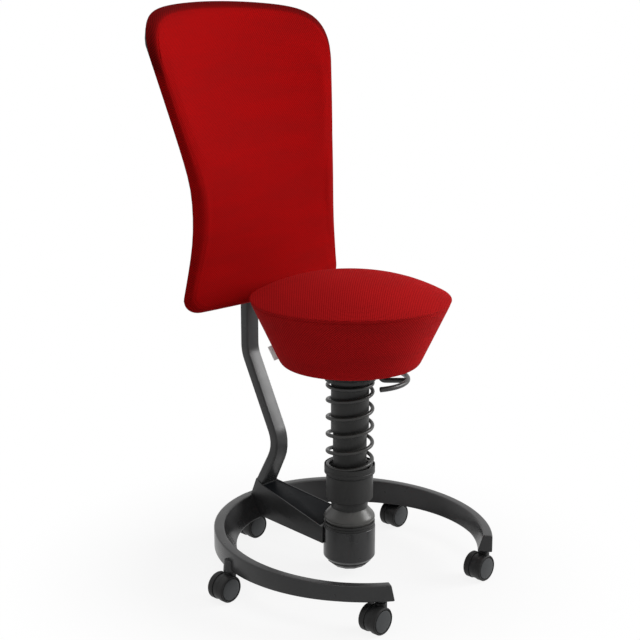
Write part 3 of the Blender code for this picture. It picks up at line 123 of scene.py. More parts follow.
class StoolSeat(bpy.types.PropertyGroup):
    """Sizes of the round seat."""
    rim: length("Rim radius", "Column axis to the rim", 0.2005)
    rim_z: length("Rim height", "Floor to the rim seam", 0.583)
    crown: length("Crown", "Rise of the top over the rim", 0.0465)
    crown_power: number("Crown fullness", "2 is a plain dome, more is fuller", 2.35, min=1.5, max=4.0)
    foot: length("Foot radius", "Column axis to the lower edge", 0.1395)
    foot_z: length("Foot height", "Floor to the lower edge", 0.447)
    corner: length("Lower rounding", "Rounding of the lower edge", 0.011)
    recess: length("Recess radius", "Radius of the opening for the seat plate", 0.118)
    recess_z: length("Recess top", "Floor to the cover above the plate", 0.4537)
    pocket: length("Pocket radius", "Radius of the hollow over the column", 0.087)
    pocket_z: length("Pocket top", "Floor to the top of the hollow", 0.516)
    swell: length("Swell", "Furthest that stuffing pushes the cover", 0.0035)


class StoolBack(bpy.types.PropertyGroup):
    """Sizes of the padded backrest."""
    top: length("Top", "Floor to the upper edge", 1.1495)
    bottom: length("Bottom", "Floor to the lower edge", 0.541)
    front: length("Front", "Column axis to the padding's sides at the waist", 0.2165)
    bend_z: length("Upper bend", "It leans back above this", 0.792)
    soft: length("Bend softness", "How gently it bends", 0.044)
    lean: number("Lean", "Slope above the bend", 0.2275)
    foot_z: length("Lower bend", "It curves back below this", 0.693)
    foot_lean: number("Foot lean", "Slope below the lower bend", 0.094)
    hollow_top: length("Hollow at the top", "How far the middle lies behind the sides at the top", 0.063)
    belly: length("Belly at the foot", "How far the middle lies before the sides at the foot", 0.010)
    waist: length("Waist half width", "Half width at its narrowest", 0.201)
    widen_up: number("Widening up", "Half width gained per height", 0.21)
    widen_down: number("Widening down", "Half width gained per depth", 0.195)
    bow: length("Top bow", "Drop of the upper edge towards the sides", 0.023)
    top_corner: length("Top corners", "Extra drop of the upper edge at its corners", 0.095)
    top_power: number("Top corner power", "How sharp the top corners are", 8.0)
    low_corner: length("Lower corners", "Rise of the lower edge at its corners", 0.040)
    low_spread: number("Lower corner width", "Width of the lower corners, as a share of the half width", 0.23)
    thick: length("Thickness", "Padding at its edge", 0.014)
    inset: length("Band", "Slanted band at the sides and the top", 0.0153)
    waist_band: number("Waist band", "Extra width of the band at the waist, as a share", 0.95)
    inset_low: length("Lower band", "Slanted band at the foot", 0.008)
    roll: length("Roll", "Rounding between the panel and the band", 0.007)
    swell: length("Swell", "Furthest that stuffing pushes the cover", 0.0045)


class StoolBase(bpy.types.PropertyGroup):
    """Sizes of the ring, its castors and the hub."""
    half_width: length("Ring half width", "Column axis to the ring's side", 0.276)
    half_length: length("Ring half length", "Ring's centre to its back", 0.2935)
    shift: length("Ring shift", "Ring's centre from the column axis", -0.008)
    wall: length("Ring wall", "Width of the ring's top at the back", 0.020)
    foot: length("Ring foot", "Width of the ring's underside at the back", 0.046)
    low: length("Ring underside", "Floor to the ring", 0.0565)
    height: length("Ring height", "Height of the ring at its back", 0.045)
    edge: length("Ring edge", "Rounding of the ring's edges", 0.0034)
    end_height: number("End height", "Share of the height at the ends", 0.73)
    end_wall: number("End wall", "Share of the top's width at the ends", 0.86)
    end_foot: number("End foot", "Share of the underside's width at the ends", 0.62)
    taper_from: angular("Taper start", "It slims past this angle from the back", 50)
    taper_to: angular("Taper end", "It is slim past this angle", 125)
    end_angle: angular("End angle", "From the front to each open end", 32)
    end_slant: angular("End slant", "Lean of the ends", 12)
    sweep: angular("Half sweep", "Each half from the back, before its end is cut", 158)
    arm_half: length("Arm half width", "Half width of the arm at the back of the ring", 0.0208)
    arm_back: length("Arm back", "Column axis to the arm's back", 0.2655)
    arm_front_half: length("Arm front half width", "Half width of the arm at the hub", 0.0496)
    arm_front: length("Arm front", "Column axis to the arm's front", 0.030)
    boss: length("Boss radius", "Radius of a castor's socket at the ring's underside", 0.0125)
    boss_top: length("Boss top radius", "Radius of the socket at its top", 0.0105)
    boss_height: length("Boss height", "Height of the socket", 0.024)
    front_boss: number("Front bosses", "Share of the socket's width at the front", 0.68)
    wheel: length("Wheel radius", "Radius of a castor wheel", 0.027)
    wheel_width: length("Wheel width", "Width of one castor wheel", 0.0145)
    hub: length("Hub radius", "Radius of the tilt joint's housing", 0.0535)
    sides: IntProperty(name="Facets", description="Facets round the turned pieces", default=96, min=24)


class StoolColumn(bpy.types.PropertyGroup):
    """Sizes of the spring column and the lever."""
    pivot: length("Pivot", "Floor to the tilt joint", 0.1034)
    cup: length("Cup radius", "Radius of the spring cup", 0.0481)
    cup_top: length("Cup top", "Floor to the cup's rim", 0.2157)
    neck: length("Neck radius", "Radius under the cup", 0.0375)
    boot: length("Boot radius", "Radius of the ball shaped boot", 0.0524)
    lip: length("Preload ring radius", "Radius of the preload ring on the cup", 0.052)
    lower_tube: length("Lower tube radius", "Radius of the fixed guide tube", 0.0345)
    sleeve: length("Sleeve radius", "Radius of the sliding sleeve", 0.0387)
    coil: length("Coil radius", "Column axis to the wire", 0.0457)
    wire: length("Wire radius", "Radius of the coil's wire", 0.004)
    pitch: length("Coil pitch", "Pitch of the open turns", 0.036)
    end_pitch: length("End pitch", "Pitch of the first and last turn", 0.0090)
    lever: length("Lever radius", "Radius of the lever's round bar", 0.0053)
    grip_z: length("Grip height", "Floor to the grip", 0.410)


class StoolStudio(bpy.types.PropertyGroup):
    """Light, floor and camera."""
    key: number("Key light", "Watts of the large light at the right", 74.0)
    top: number("Top light", "Watts of the overhead light", 24.0)
    rim: number("Back light", "Watts of the light behind", 3.0)
    air: number("Surroundings", "Strength of the white surroundings", 0.27)
    focal: number("Focal length", "For a 36 mm wide film", 75.76, unit="CAMERA")


# Bench tools


def deselect():
    """Nothing selected, and no mesh left in edit mode."""
    if bpy.context.object and bpy.context.object.mode != "OBJECT":
        bpy.ops.object.mode_set(mode="OBJECT")
    bpy.ops.object.select_all(action="DESELECT")


def pick(piece):
    """Select one piece and make it active."""
    deselect()
    piece.select_set(True)
    bpy.context.view_layer.objects.active = piece


@contextmanager
def editing():
    """Edit mode with the whole mesh selected, and object mode afterwards."""
    bpy.ops.object.mode_set(mode="EDIT")
    bpy.ops.mesh.select_all(action="SELECT")
    yield
    bpy.ops.object.mode_set(mode="OBJECT")


def take(name):
    """Name the piece that was just added."""
    piece = bpy.context.object
    piece.name = name
    piece.data.name = name
    return piece


def freeze(piece):
    """Put the piece's place, turn and size into its mesh."""
    pick(piece)
    bpy.ops.object.transform_apply(location=True, rotation=True, scale=True)


def shade(piece, angle):
    """Shade the piece smooth, apart from edges sharper than an angle in degrees."""
    pick(piece)
    bpy.ops.object.shade_smooth_by_angle(angle=math.radians(angle))


def settle(piece, angle=35.0):
    """Freeze the piece, turn its faces outwards and shade it."""
    freeze(piece)
    with editing():
        bpy.ops.mesh.normals_make_consistent(inside=False)
    shade(piece, angle)
    return piece


def press_on(piece, kind, **settings):
    """Add a modifier with its settings and apply it."""
    pick(piece)
    modifier = piece.modifiers.new(kind.title(), kind)
    for key, value in settings.items():
        setattr(modifier, key, value)
    bpy.ops.object.modifier_apply(modifier=modifier.name)
    return piece


def weld(piece, other):
    """Join a second closed shape into a piece."""
    press_on(piece, "BOOLEAN", operation="UNION", object=other, solver="EXACT")
    bpy.data.objects.remove(other, do_unlink=True)
    return piece


def dress(piece, finish, slot, *nodes):
    """Give a piece its finish and let it stand for packed nodes, on their body."""
    piece.data.materials.clear()
    piece.data.materials.append(FINISHES[finish])
    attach(piece, NODE_BODY[nodes[0]])
    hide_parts(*nodes)
    return piece


def soften(corners, radius, steps=4, closed=False):
    """Round the corners of a drawn line, as far as its stretches allow."""
    points = [Vector(corner) for corner in corners]
    count = len(points)
    line = []
    for i, corner in enumerate(points):
        if not closed and i in (0, count - 1):
            line.append(corner)
            continue
        back, ahead = points[i - 1] - corner, points[(i + 1) % count] - corner
        bend = math.pi - back.angle(ahead)
        if bend < 0.05:
            line.append(corner)
            continue
        reach = min(radius * math.tan(bend / 2), back.length * 0.48, ahead.length * 0.48)
        start = corner + back.normalized() * reach
        end = corner + ahead.normalized() * reach
        for k in range(steps + 1):
            t = k / steps
            line.append(start * (1 - t) ** 2 + corner * 2 * t * (1 - t) + end * t ** 2)
    return [tuple(point) for point in line]


def outlined(corners, radius, steps=3):
    """Rounded outline of a turned piece that ends where it starts."""
    line = soften(corners, radius, steps, closed=True)
    return line + line[:1]


def ball_line(radius, middle, start, end, steps):
    """Profile of a ball between two angles from its top."""
    line = []
    for i in range(steps + 1):
        angle = start + (end - start) * i / steps
        line.append((radius * math.sin(angle), middle + radius * math.cos(angle)))
    return line


def turn(name, profile, sides, centre=None):
    """Piece turned about an upright axis: a circle drawn from ring to ring of a profile."""
    cx, cy = centre or (AXIS.x, AXIS.y)
    deselect()
    radius, height = profile[0]
    bpy.ops.mesh.primitive_circle_add(vertices=sides, radius=radius, fill_type="NOTHING",
                                      location=(cx, cy, height))
    piece = take(name)
    with editing():
        for r, z in profile[1:]:
            bpy.ops.mesh.extrude_region_move(TRANSFORM_OT_translate={"value": (0.0, 0.0, z - height)})
            if abs(r - radius) > 1e-9:
                grow = r / radius
                bpy.ops.transform.resize(value=(grow, grow, 1.0), center_override=(cx, cy, z))
            radius, height = r, z
        bpy.ops.mesh.select_all(action="SELECT")
        bpy.ops.mesh.remove_doubles(threshold=MERGE)
        bpy.ops.mesh.fill_holes(sides=0)
    return settle(piece)


def tube(name, points, radius, resolution=6):
    """Round bar along a line, with closed ends."""
    deselect()
    path = bpy.data.curves.new(name, "CURVE")
    path.dimensions = "3D"
    path.bevel_depth = radius
    path.bevel_resolution = resolution
    path.use_fill_caps = True
    spline = path.splines.new("POLY")
    spline.points.add(len(points) - 1)
    for slot, point in zip(spline.points, points):
        slot.co = (*point, 1.0)
    piece = bpy.data.objects.new(name, path)
    bpy.context.collection.objects.link(piece)
    pick(piece)
    bpy.ops.object.convert(target="MESH")
    piece = take(name)
    with editing():
        bpy.ops.mesh.remove_doubles(threshold=MERGE)
    return settle(piece)


def eased(node, name, width, segments=3, angle=28.0):
    """Copy of a packed piece with its sharp edges rounded over."""
    deselect()
    piece = bpy.data.objects.new(name, frame["nodes"][node].data.copy())
    piece.data.name = name
    bpy.context.collection.objects.link(piece)
    pick(piece)
    bpy.ops.mesh.customdata_custom_splitnormals_clear()
    with editing():
        bpy.ops.mesh.remove_doubles(threshold=MERGE)
        bpy.ops.mesh.dissolve_limited(angle_limit=FLAT_ANGLE)
    press_on(piece, "BEVEL", width=width, segments=segments, limit_method="ANGLE",
             angle_limit=math.radians(angle), use_clamp_overlap=True)
    shade(piece, angle)
    return piece


def stuff(piece, held, swell):
    """Let stuffing swell the cover by cloth simulation; held points stay sewn down."""
    scene = bpy.context.scene
    group = piece.vertex_groups.new(name="sewn")
    group.add([vert.index for vert in piece.data.vertices if held(vert)], 1.0, "REPLACE")
    rest = [vert.co.copy() for vert in piece.data.vertices]
    cloth = piece.modifiers.new("Stuffing", "CLOTH")
    cloth.settings.vertex_group_mass = "sewn"
    cloth.settings.use_pressure = True
    cloth.settings.uniform_pressure_force = PRESSURE
    cloth.settings.effector_weights.gravity = 0.0
    cloth.collision_settings.use_collision = False
    for step in range(1, CLOTH_STEPS + 1):
        scene.frame_set(step)
    shaped = piece.evaluated_get(bpy.context.evaluated_depsgraph_get()).to_mesh()
    moved = [vert.co.copy() for vert in shaped.vertices]
    piece.evaluated_get(bpy.context.evaluated_depsgraph_get()).to_mesh_clear()
    piece.modifiers.remove(cloth)
    piece.vertex_groups.remove(group)
    push = np.array([end - start for start, end in zip(rest, moved)])
    ends = np.array([edge.vertices[:] for edge in piece.data.edges])
    both = np.concatenate((ends, ends[:, ::-1]))
    count = np.bincount(both[:, 0], minlength=len(rest))[:, None]
    still = np.abs(push).max(axis=1) < 1e-7
    for pass_number in range(CLOTH_PASSES):
        total = np.zeros_like(push)
        np.add.at(total, both[:, 0], push[both[:, 1]])
        push = (push + total / np.maximum(count, 1)) / 2
        push[still] = 0.0
    for vert, start, way in zip(piece.data.vertices, rest, push):
        way = Vector(way)
        limit = swell(start)
        if way.length > limit:
            way *= limit / way.length
        vert.co = start + way
    scene.frame_set(1)


# Finishes


class Finish:
    """Node tree of one finish, round its Principled shader."""

    def __init__(self, name):
        self.material = bpy.data.materials.new(name)
        self.material.use_nodes = True
        self.nodes = self.material.node_tree.nodes
        self.links = self.material.node_tree.links
        self.shader = self.nodes["Principled BSDF"]
        self.here = self.add("ShaderNodeTexCoord").outputs["Object"]
        FINISHES[name] = self.material

    def add(self, kind, values=None, **settings):
        node = self.nodes.new(kind)
        for key, value in settings.items():
            setattr(node, key, value)
        for key, value in (values or {}).items():
            node.inputs[key].default_value = value
        return node

    def noise(self, scale, detail=2.0, stretch=(1.0, 1.0, 1.0), vector=None):
        """Noise over the object, finer along the axes with a larger stretch."""
        mapping = self.add("ShaderNodeMapping", {"Scale": stretch})
        self.links.new(vector or self.here, mapping.inputs["Vector"])
        node = self.add("ShaderNodeTexNoise", {"Scale": scale, "Detail": detail})
        self.links.new(mapping.outputs["Vector"], node.inputs["Vector"])
        return node.outputs["Fac"]

    def ramp(self, value, low, high, start=0.3, end=0.7):
        """Colours from low to high over part of a value's range."""
        node = self.add("ShaderNodeValToRGB")
        self.links.new(value, node.inputs["Fac"])
        node.color_ramp.elements[0].position = start
        node.color_ramp.elements[0].color = (*low, 1.0)
        node.color_ramp.elements[1].position = end
        node.color_ramp.elements[1].color = (*high, 1.0)
        return node.outputs["Color"]

    def span(self, value, low, high, start=0.3, end=0.7):
        """Numbers from low to high over part of a value's range."""
        node = self.add("ShaderNodeMapRange", {"From Min": start, "From Max": end,
                                               "To Min": low, "To Max": high})
        self.links.new(value, node.inputs["Value"])
        return node.outputs["Result"]

    def mix(self, factor, first, second, kind="MIX"):
        """Blend of two colours, by a number or a value."""
        node = self.add("ShaderNodeMix", data_type="RGBA", blend_type=kind)
        for socket, value in ((node.inputs[0], factor), (node.inputs[6], first), (node.inputs[7], second)):
            if isinstance(value, bpy.types.NodeSocket):
                self.links.new(value, socket)
            else:
                socket.default_value = value
        return node.outputs[2]

    def bump(self, value, strength, distance):
        """Relief from a value."""
        node = self.add("ShaderNodeBump", {"Strength": strength, "Distance": distance})
        self.links.new(value, node.inputs["Height"])
        self.links.new(node.outputs["Normal"], self.shader.inputs["Normal"])

    def paint(self, tone, gloss):
        """Colour and roughness from two values."""
        self.links.new(tone, self.shader.inputs["Base Color"])
        self.links.new(gloss, self.shader.inputs["Roughness"])

    def set(self, **sockets):
        """Constant values on the shader, by socket name with underscores for blanks."""
        for key, value in sockets.items():
            self.shader.inputs[key.replace("_", " ")].default_value = value


def scaled(tone, factor):
    """A colour made lighter or darker."""
    return tuple(min(1.0, channel * factor) for channel in tone)


def mesh_fabric(name, yarn, hole, band):
    """Fine red mesh cover: offset rows of raised threads over darker holes, deeper along a band."""
    cloth = Finish(name)
    flat = cloth.add("ShaderNodeUVMap", uv_map="cloth").outputs["UV"]
    turned = cloth.add("ShaderNodeMapping", {"Rotation": (0.0, 0.0, math.radians(45)),
                                             "Scale": (THREADS, THREADS, 1.0)})
    cloth.links.new(flat, turned.inputs["Vector"])
    knots = cloth.add("ShaderNodeTexVoronoi", {"Scale": 1.0, "Randomness": 0.10},
                      voronoi_dimensions="2D", feature="F1")
    cloth.links.new(turned.outputs["Vector"], knots.inputs["Vector"])
    edge = cloth.add("ShaderNodeAttribute", attribute_name="band").outputs["Fac"]
    threads = cloth.mix(edge, (*yarn, 1.0), (*band, 1.0))
    holes = cloth.mix(edge, (*hole, 1.0), (*scaled(band, 0.18), 1.0))
    gap = cloth.span(knots.outputs["Distance"], 0.0, 1.0, 0.26, 0.62)
    rows = cloth.noise(6.0, 5.0, (1.0, 1.0, 5.0))
    clouds = cloth.ramp(rows, (0.88, 0.88, 0.88), (1.0, 1.0, 1.0), 0.35, 0.65)
    weave = cloth.mix(gap, threads, holes)
    cloth.paint(cloth.mix(1.0, weave, clouds, "MULTIPLY"), cloth.span(rows, 0.80, 0.94))
    cloth.bump(cloth.span(knots.outputs["Distance"], 1.0, 0.0, 0.15, 0.7), 0.30, 0.0004)
    cloth.set(Specular_IOR_Level=0.03, Sheen_Weight=0.01, Sheen_Roughness=0.5,
              Sheen_Tint=(1.0, 0.2, 0.2, 1.0))


def coated(name, tone, grain, low, high, depth=0.00012, metallic=0.0, specular=0.5):
    """Coated or moulded surface: fine grain, soft clouding and uneven gloss."""
    coat = Finish(name)
    cloud = coat.noise(11.0, 4.0)
    coat.paint(coat.ramp(cloud, scaled(tone, 0.86), scaled(tone, 1.14)),
               coat.span(coat.noise(24.0, 3.0), low, high))
    coat.bump(coat.noise(grain, 2.0), 0.25, depth)
    coat.set(Metallic=metallic, Specular_IOR_Level=specular)


def turned_steel(name, tone):
    """Bright steel with fine turning marks across its length."""
    steel = Finish(name)
    marks = steel.noise(60.0, 3.0, (1.0, 1.0, 40.0))
    steel.paint(steel.ramp(marks, scaled(tone, 0.82), tone), steel.span(marks, 0.22, 0.38))
    steel.bump(marks, 0.08, 0.0001)
    steel.set(Metallic=1.0)


def woven_label(name, tone):
    """Blank white tag: a fine woven ribbon."""
    ribbon = Finish(name)
    weave = ribbon.noise(1500.0, 1.0, (1.0, 1.0, 3.0))
    ribbon.paint(ribbon.ramp(weave, scaled(tone, 0.84), tone), ribbon.span(weave, 0.72, 0.88))
    ribbon.bump(weave, 0.3, 0.0002)


class STOOL_OT_finishes(bpy.types.Operator):
    """Mix the finishes and put them on the packed pieces that stay in sight"""
    bl_idname = "stool.finishes"
    bl_label = "Finishes"

    def execute(self, context):
        tones = context.scene.stool_colours
        mesh_fabric("back_mesh", tones.yarn, tones.mesh_hole, tones.band)
        mesh_fabric("seat_mesh", tones.seat_yarn, tones.mesh_hole, tones.band)
        coated("powder_coat", tones.coat, 900.0, 0.26, 0.34, specular=0.30)
        coated("satin_lid", tones.lid, 1300.0, 0.42, 0.52, 0.00006, specular=0.03)
        coated("moulded_black", tones.moulded, 1100.0, 0.40, 0.54, specular=0.26)
        coated("boot_rubber", tones.rubber, 700.0, 0.30, 0.38, specular=0.45)
        coated("coated_wire", tones.wire, 1200.0, 0.30, 0.40, 0.00006, specular=0.40)
        coated("castor_nylon", tones.nylon, 1000.0, 0.38, 0.50, specular=0.24)
        coated("wheel_cap", tones.cap, 1400.0, 0.42, 0.54, 0.00008, specular=0.30)
        coated("wheel_tread", tones.tread, 600.0, 0.44, 0.58, specular=0.24)
        coated("white_plastic", tones.label, 900.0, 0.36, 0.48)
        turned_steel("turned_steel", tones.steel)
        woven_label("woven_label", tones.label)
        plain = {
            "moulded_black": ("spring_plate", "seat_plate", "ball_seat"),
            "boot_rubber": ("tilt_bowl",),
            "white_plastic": ("guide_bush", "release_button"),
            "turned_steel": ("tilt_stem", "adjuster_spindle", "carrier_tube", "piston_rod", "gas_cylinder",
                             "lever_bracket", "lever_pin", "upright_foot_bolt", "upright_bolt_1",
                             "upright_bolt_2", "bracket_screw_1", "bracket_screw_2", "bracket_screw_3",
                             "bracket_screw_4", *(f"castor_{name}_stem" for name in CASTORS)),
        }
        for finish, nodes in plain.items():
            for node in nodes:
                packed = frame["nodes"][node]
                packed.data.materials.clear()
                packed.data.materials.append(FINISHES[finish])
                shade(packed, 32.0)
        return {"FINISHED"}


# Seat

ROLL_WIDTH, ROLL_SINK = 0.0036, 0.0018    # the crown ends this far inside the rim, and rises this much less
RIM_ROLL = ((-0.0018, -0.0008), (-0.0004, -0.0024), (-0.0002, -0.0042), (-0.0014, -0.0058),
            (-0.0030, -0.0066), (-0.0030, -0.0080))    # out and up from the rim seam
SKIRT_START = (-0.0024, -0.0096)          # from the same place
SKIRT_END = 0.0044                        # the skirt ends this far outside the foot
FOOT_OUT, FOOT_SHARE = 0.0012, 0.45       # the rounding's next point: outside the foot, share of the corner
FOOT_IN, FOOT_LIFT = 0.0030, 0.0012       # and its last one: inside the foot, and over it
FOOT_FLAT = 0.0085                        # the underside is flat this far inside the foot
FOOT_HELD = 0.6                           # the cover stays sewn below this share of the corner
CROWN_STEPS, SKIRT_STEPS, SEAT_SIDES = 30, 22, 150
RIM_HELD = (0.0045, 0.011)                # the cover stays sewn this far inside the rim and under it
POCKET_HELD = (0.004, 0.001)              # and this far outside the pocket and over it
LAID_FLAT = (-0.8, 0.35)                  # its weave is laid from above where the normal's z is outside these
TAG_SIZE = (0.0102, 0.031)                # sewn edge to free edge, and along the skirt, flat
TAG_THICK = 0.0008
TAG_TURN = math.radians(131.6)            # its face, round the upright axis
TAG_CURL, TAG_WAVE = 0.0007, 0.0004


def lay_cloth(piece, across):
    """Flatten the cover piece by piece, so that the mesh runs evenly over it."""
    mesh = piece.data
    layer = mesh.uv_layers.new(name="cloth")
    for polygon in mesh.polygons:
        for loop in polygon.loop_indices:
            point = mesh.vertices[mesh.loops[loop].vertex_index].co
            layer.data[loop].uv = across(point, polygon)


def seat_profile(seat):
    """Cover of the seat from its middle to the rolled rim, down the skirt and into the pocket."""
    rim, top = seat.rim, seat.rim_z
    start = seat.crown - ROLL_SINK
    crown = []
    for i in range(1, CROWN_STEPS + 1):
        share = i / CROWN_STEPS
        crown.append(((rim - ROLL_WIDTH) * share, top + start * (1 - share ** seat.crown_power)))
    roll = [(rim + out, top + up) for out, up in RIM_ROLL]
    high = Vector((rim + SKIRT_START[0], top + SKIRT_START[1]))
    low = Vector((seat.foot + SKIRT_END, seat.foot_z + seat.corner))
    skirt = [tuple(high.lerp(low, i / SKIRT_STEPS)) for i in range(SKIRT_STEPS + 1)]
    under = [(seat.foot + FOOT_OUT, seat.foot_z + seat.corner * FOOT_SHARE),
             (seat.foot - FOOT_IN, seat.foot_z + FOOT_LIFT), (seat.foot - FOOT_FLAT, seat.foot_z)]
    inside = [(seat.recess, seat.foot_z), (seat.recess, seat.recess_z), (seat.pocket, seat.recess_z),
              (seat.pocket, seat.pocket_z), (TIP, seat.pocket_z)]
    return [(TIP, crown[0][1])] + crown + roll + skirt + under + inside


class STOOL_OT_seat(bpy.types.Operator):
    """Make the stuffed round seat with its rolled rim and blank tag"""
    bl_idname = "stool.seat"
    bl_label = "Seat"

    def execute(self, context):
        seat = context.scene.stool_seat
        pad = turn("seat_pad", seat_profile(seat), SEAT_SIDES)
        bottom = seat.foot_z + seat.corner * FOOT_HELD

        def held(vert):
            out = (Vector((vert.co.x, vert.co.y, 0.0)) - AXIS).length
            rim = out > seat.rim - RIM_HELD[0] and vert.co.z > seat.rim_z - RIM_HELD[1]
            pocket = out < seat.pocket + POCKET_HELD[0] and vert.co.z < seat.pocket_z + POCKET_HELD[1]
            return rim or pocket or vert.co.z < bottom

        stuff(pad, held, lambda point: seat.swell if point.z > seat.rim_z else seat.swell / 3)
        press_on(pad, "SUBSURF", levels=1, render_levels=1)
        settle(pad, 60.0)
        middle = (seat.rim + seat.foot) / 2

        def across(point, polygon):
            spot = point - AXIS
            if polygon.normal.z > LAID_FLAT[1] or polygon.normal.z < LAID_FLAT[0]:
                return spot.x, spot.y
            centre = Vector(polygon.center) - AXIS
            mean = math.atan2(centre.y, centre.x)
            step = math.atan2(spot.y, spot.x) - mean
            step = (step + math.pi) % math.tau - math.pi
            return (mean + step) * middle, spot.z

        lay_cloth(pad, across)
        dress(pad, "seat_mesh", "red_fabric", "seat_cushion")
        self.sew_tag(seat)
        return {"FINISHED"}

    def sew_tag(self, seat):
        """A small blank ribbon that stands out from the skirt, with a slight curl."""
        low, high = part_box("seat_tag")
        deselect()
        bpy.ops.mesh.primitive_grid_add(x_subdivisions=10, y_subdivisions=24, size=1.0)
        tag = take("seat_label")
        slope = math.atan2(seat.rim - seat.foot, seat.rim_z - seat.foot_z)
        place = (Matrix.Translation((low + high) / 2) @ Matrix.Rotation(TAG_TURN, 4, "Z")
                 @ Matrix.Rotation(slope, 4, "Y"))
        for vert in tag.data.vertices:
            out, along = vert.co.x, vert.co.y
            curl = TAG_CURL * math.sin(math.pi * (out + 0.5)) + TAG_WAVE * math.sin(math.tau * along)
            vert.co = place @ Vector((out * TAG_SIZE[0], curl, along * TAG_SIZE[1]))
        press_on(tag, "SOLIDIFY", thickness=TAG_THICK, offset=0.0)
        settle(tag)
        dress(tag, "woven_label", "label_white", "seat_tag")


# Backrest

SHELL_EDGE = 0.0012           # rounding of the shell behind the pad
BACK_ROWS = 5                 # steps from the front panel to the rear
PUFF = 0.0012                 # bulge of the band between the two
ROLL_DEPTH = 0.3              # the panel's edge falls back by this share of the roll
SEWN = 0.0005                 # the front panel's points closer to its edge than this stay put
# Painted light: the band's sides take less of its dark colour than its top, a lighter colour that makes up for the
# shade the key light leaves on them.
BAND_FRONT, BAND_SIDE = 0.15, 0.30    # how much of the band's colour shows before it and along the sides
BAND_START = 0.5              # and next to the front panel, from where it grows towards the rear
BAND_TOP_FROM = 0.94          # above this share of the height it grows to full


def ease_in(x, soft):
    """Zero below 0 and rising above it, with a soft bend between."""
    return (x + math.sqrt(x * x + soft * soft)) / 2


def gathered(place):
    """Place from -1 to 1, moved so that even steps gather towards both ends."""
    return place * (1.5 - 0.5 * place * place)


def bends(back, z):
    """How far a height lies above the upper bend and below the lower one."""
    return ease_in(z - back.bend_z, back.soft), ease_in(back.foot_z - z, back.soft)


def back_half(back, z):
    """Half width of the backrest at a height."""
    up, down = bends(back, z)
    return back.waist + back.widen_up * up + back.widen_down * down


def back_point(back, s, t, inset, inset_low, depth):
    """Point of the backrest: s across from -1 to 1, t up from 0 to 1."""
    reach = max(0.0, (abs(s) - 1 + back.low_spread) / back.low_spread)
    low = back.bottom + inset_low + back.low_corner * (1 - math.sqrt(max(0.0, 1 - reach * reach)))
    fall = 1 - math.sqrt(max(0.0, 1 - abs(s) ** back.top_power))
    high = back.top - inset - back.bow * s ** 2 - back.top_corner * fall
    z = low + t * (high - low)
    up, down = bends(back, z)
    lean = back.lean * up + back.foot_lean * down
    share = (z - back.bottom) / (back.top - back.bottom)
    hollow = (back.hollow_top + back.belly) * share - back.belly
    y = back.front + lean + hollow * (1 - s * s) + depth
    waist = (back.bend_z + back.foot_z) / 2
    wider = 1 + back.waist_band * math.exp(-((z - waist) / (back.bend_z - back.foot_z)) ** 2)
    return AXIS + Vector((s * (back_half(back, z) - inset * wider), y, z))


class STOOL_OT_backrest(bpy.types.Operator):
    """Make the stuffed backrest with its slanted band, and the shell behind it"""
    bl_idname = "stool.backrest"
    bl_label = "Backrest"

    def execute(self, context):
        back = context.scene.stool_back
        pad, free = self.blank(back)
        stuff(pad, lambda vert: vert.index not in free, lambda point: back.swell)
        press_on(pad, "SUBSURF", levels=1, render_levels=1)
        settle(pad, 60.0)

        def across(point, polygon):
            spot = point - AXIS
            normal = polygon.normal
            if abs(normal.x) > max(abs(normal.y), abs(normal.z)):
                return spot.y, spot.z
            if abs(normal.z) > abs(normal.y):
                return spot.x, spot.y
            return spot.x, spot.z

        lay_cloth(pad, across)
        dress(pad, "back_mesh", "red_fabric", "back_cushion")
        shell = eased("back_shell", "back_shell_cover", SHELL_EDGE)
        dress(shell, "moulded_black", "shell_black", "back_shell")
        return {"FINISHED"}

    def blank(self, back):
        """Unstuffed pad: a grid drawn back in steps to its rear, and the points that may swell."""
        deselect()
        bpy.ops.mesh.primitive_grid_add(x_subdivisions=72, y_subdivisions=88, size=2.0)
        pad = take("back_pad")
        with editing():
            for row in range(BACK_ROWS):
                bpy.ops.mesh.extrude_region_move(TRANSFORM_OT_translate={"value": (0.0, 0.0, 1.0)})
        band = pad.data.attributes.new("band", "FLOAT", "POINT").data
        free = set()
        for vert in pad.data.vertices:
            s, t, row = gathered(vert.co.x), gathered(vert.co.y) / 2 + 0.5, round(vert.co.z)
            share, keep = row / BACK_ROWS, 1 - row / BACK_ROWS
            puff = PUFF * math.sin(math.pi * share)
            spot = back_point(back, s, t, back.inset * keep - puff * keep, back.inset_low * keep,
                              back.thick * share - puff * keep)
            if row == 0:
                tall = back.top - back.bottom
                edge = min((1 - abs(s)) * back_half(back, spot.z), t * tall, (1 - t) * tall)
                if edge > SEWN:
                    free.add(vert.index)
                near = max(0.0, 1 - edge / back.roll)
                spot.y += back.roll * ROLL_DEPTH * near * near
                band[vert.index].value = BAND_FRONT * near
            else:
                # Painted light: side rows get a lighter band colour than the top rows, to make up for the shade on
                # the sides.
                upper = max(0.0, min(1.0, (t - BAND_TOP_FROM) / (1 - BAND_TOP_FROM)))
                band[vert.index].value = min(1.0, BAND_START + share) * (BAND_SIDE + (1 - BAND_SIDE) * upper)
            vert.co = spot
        settle(pad)
        return pad, free


# Base

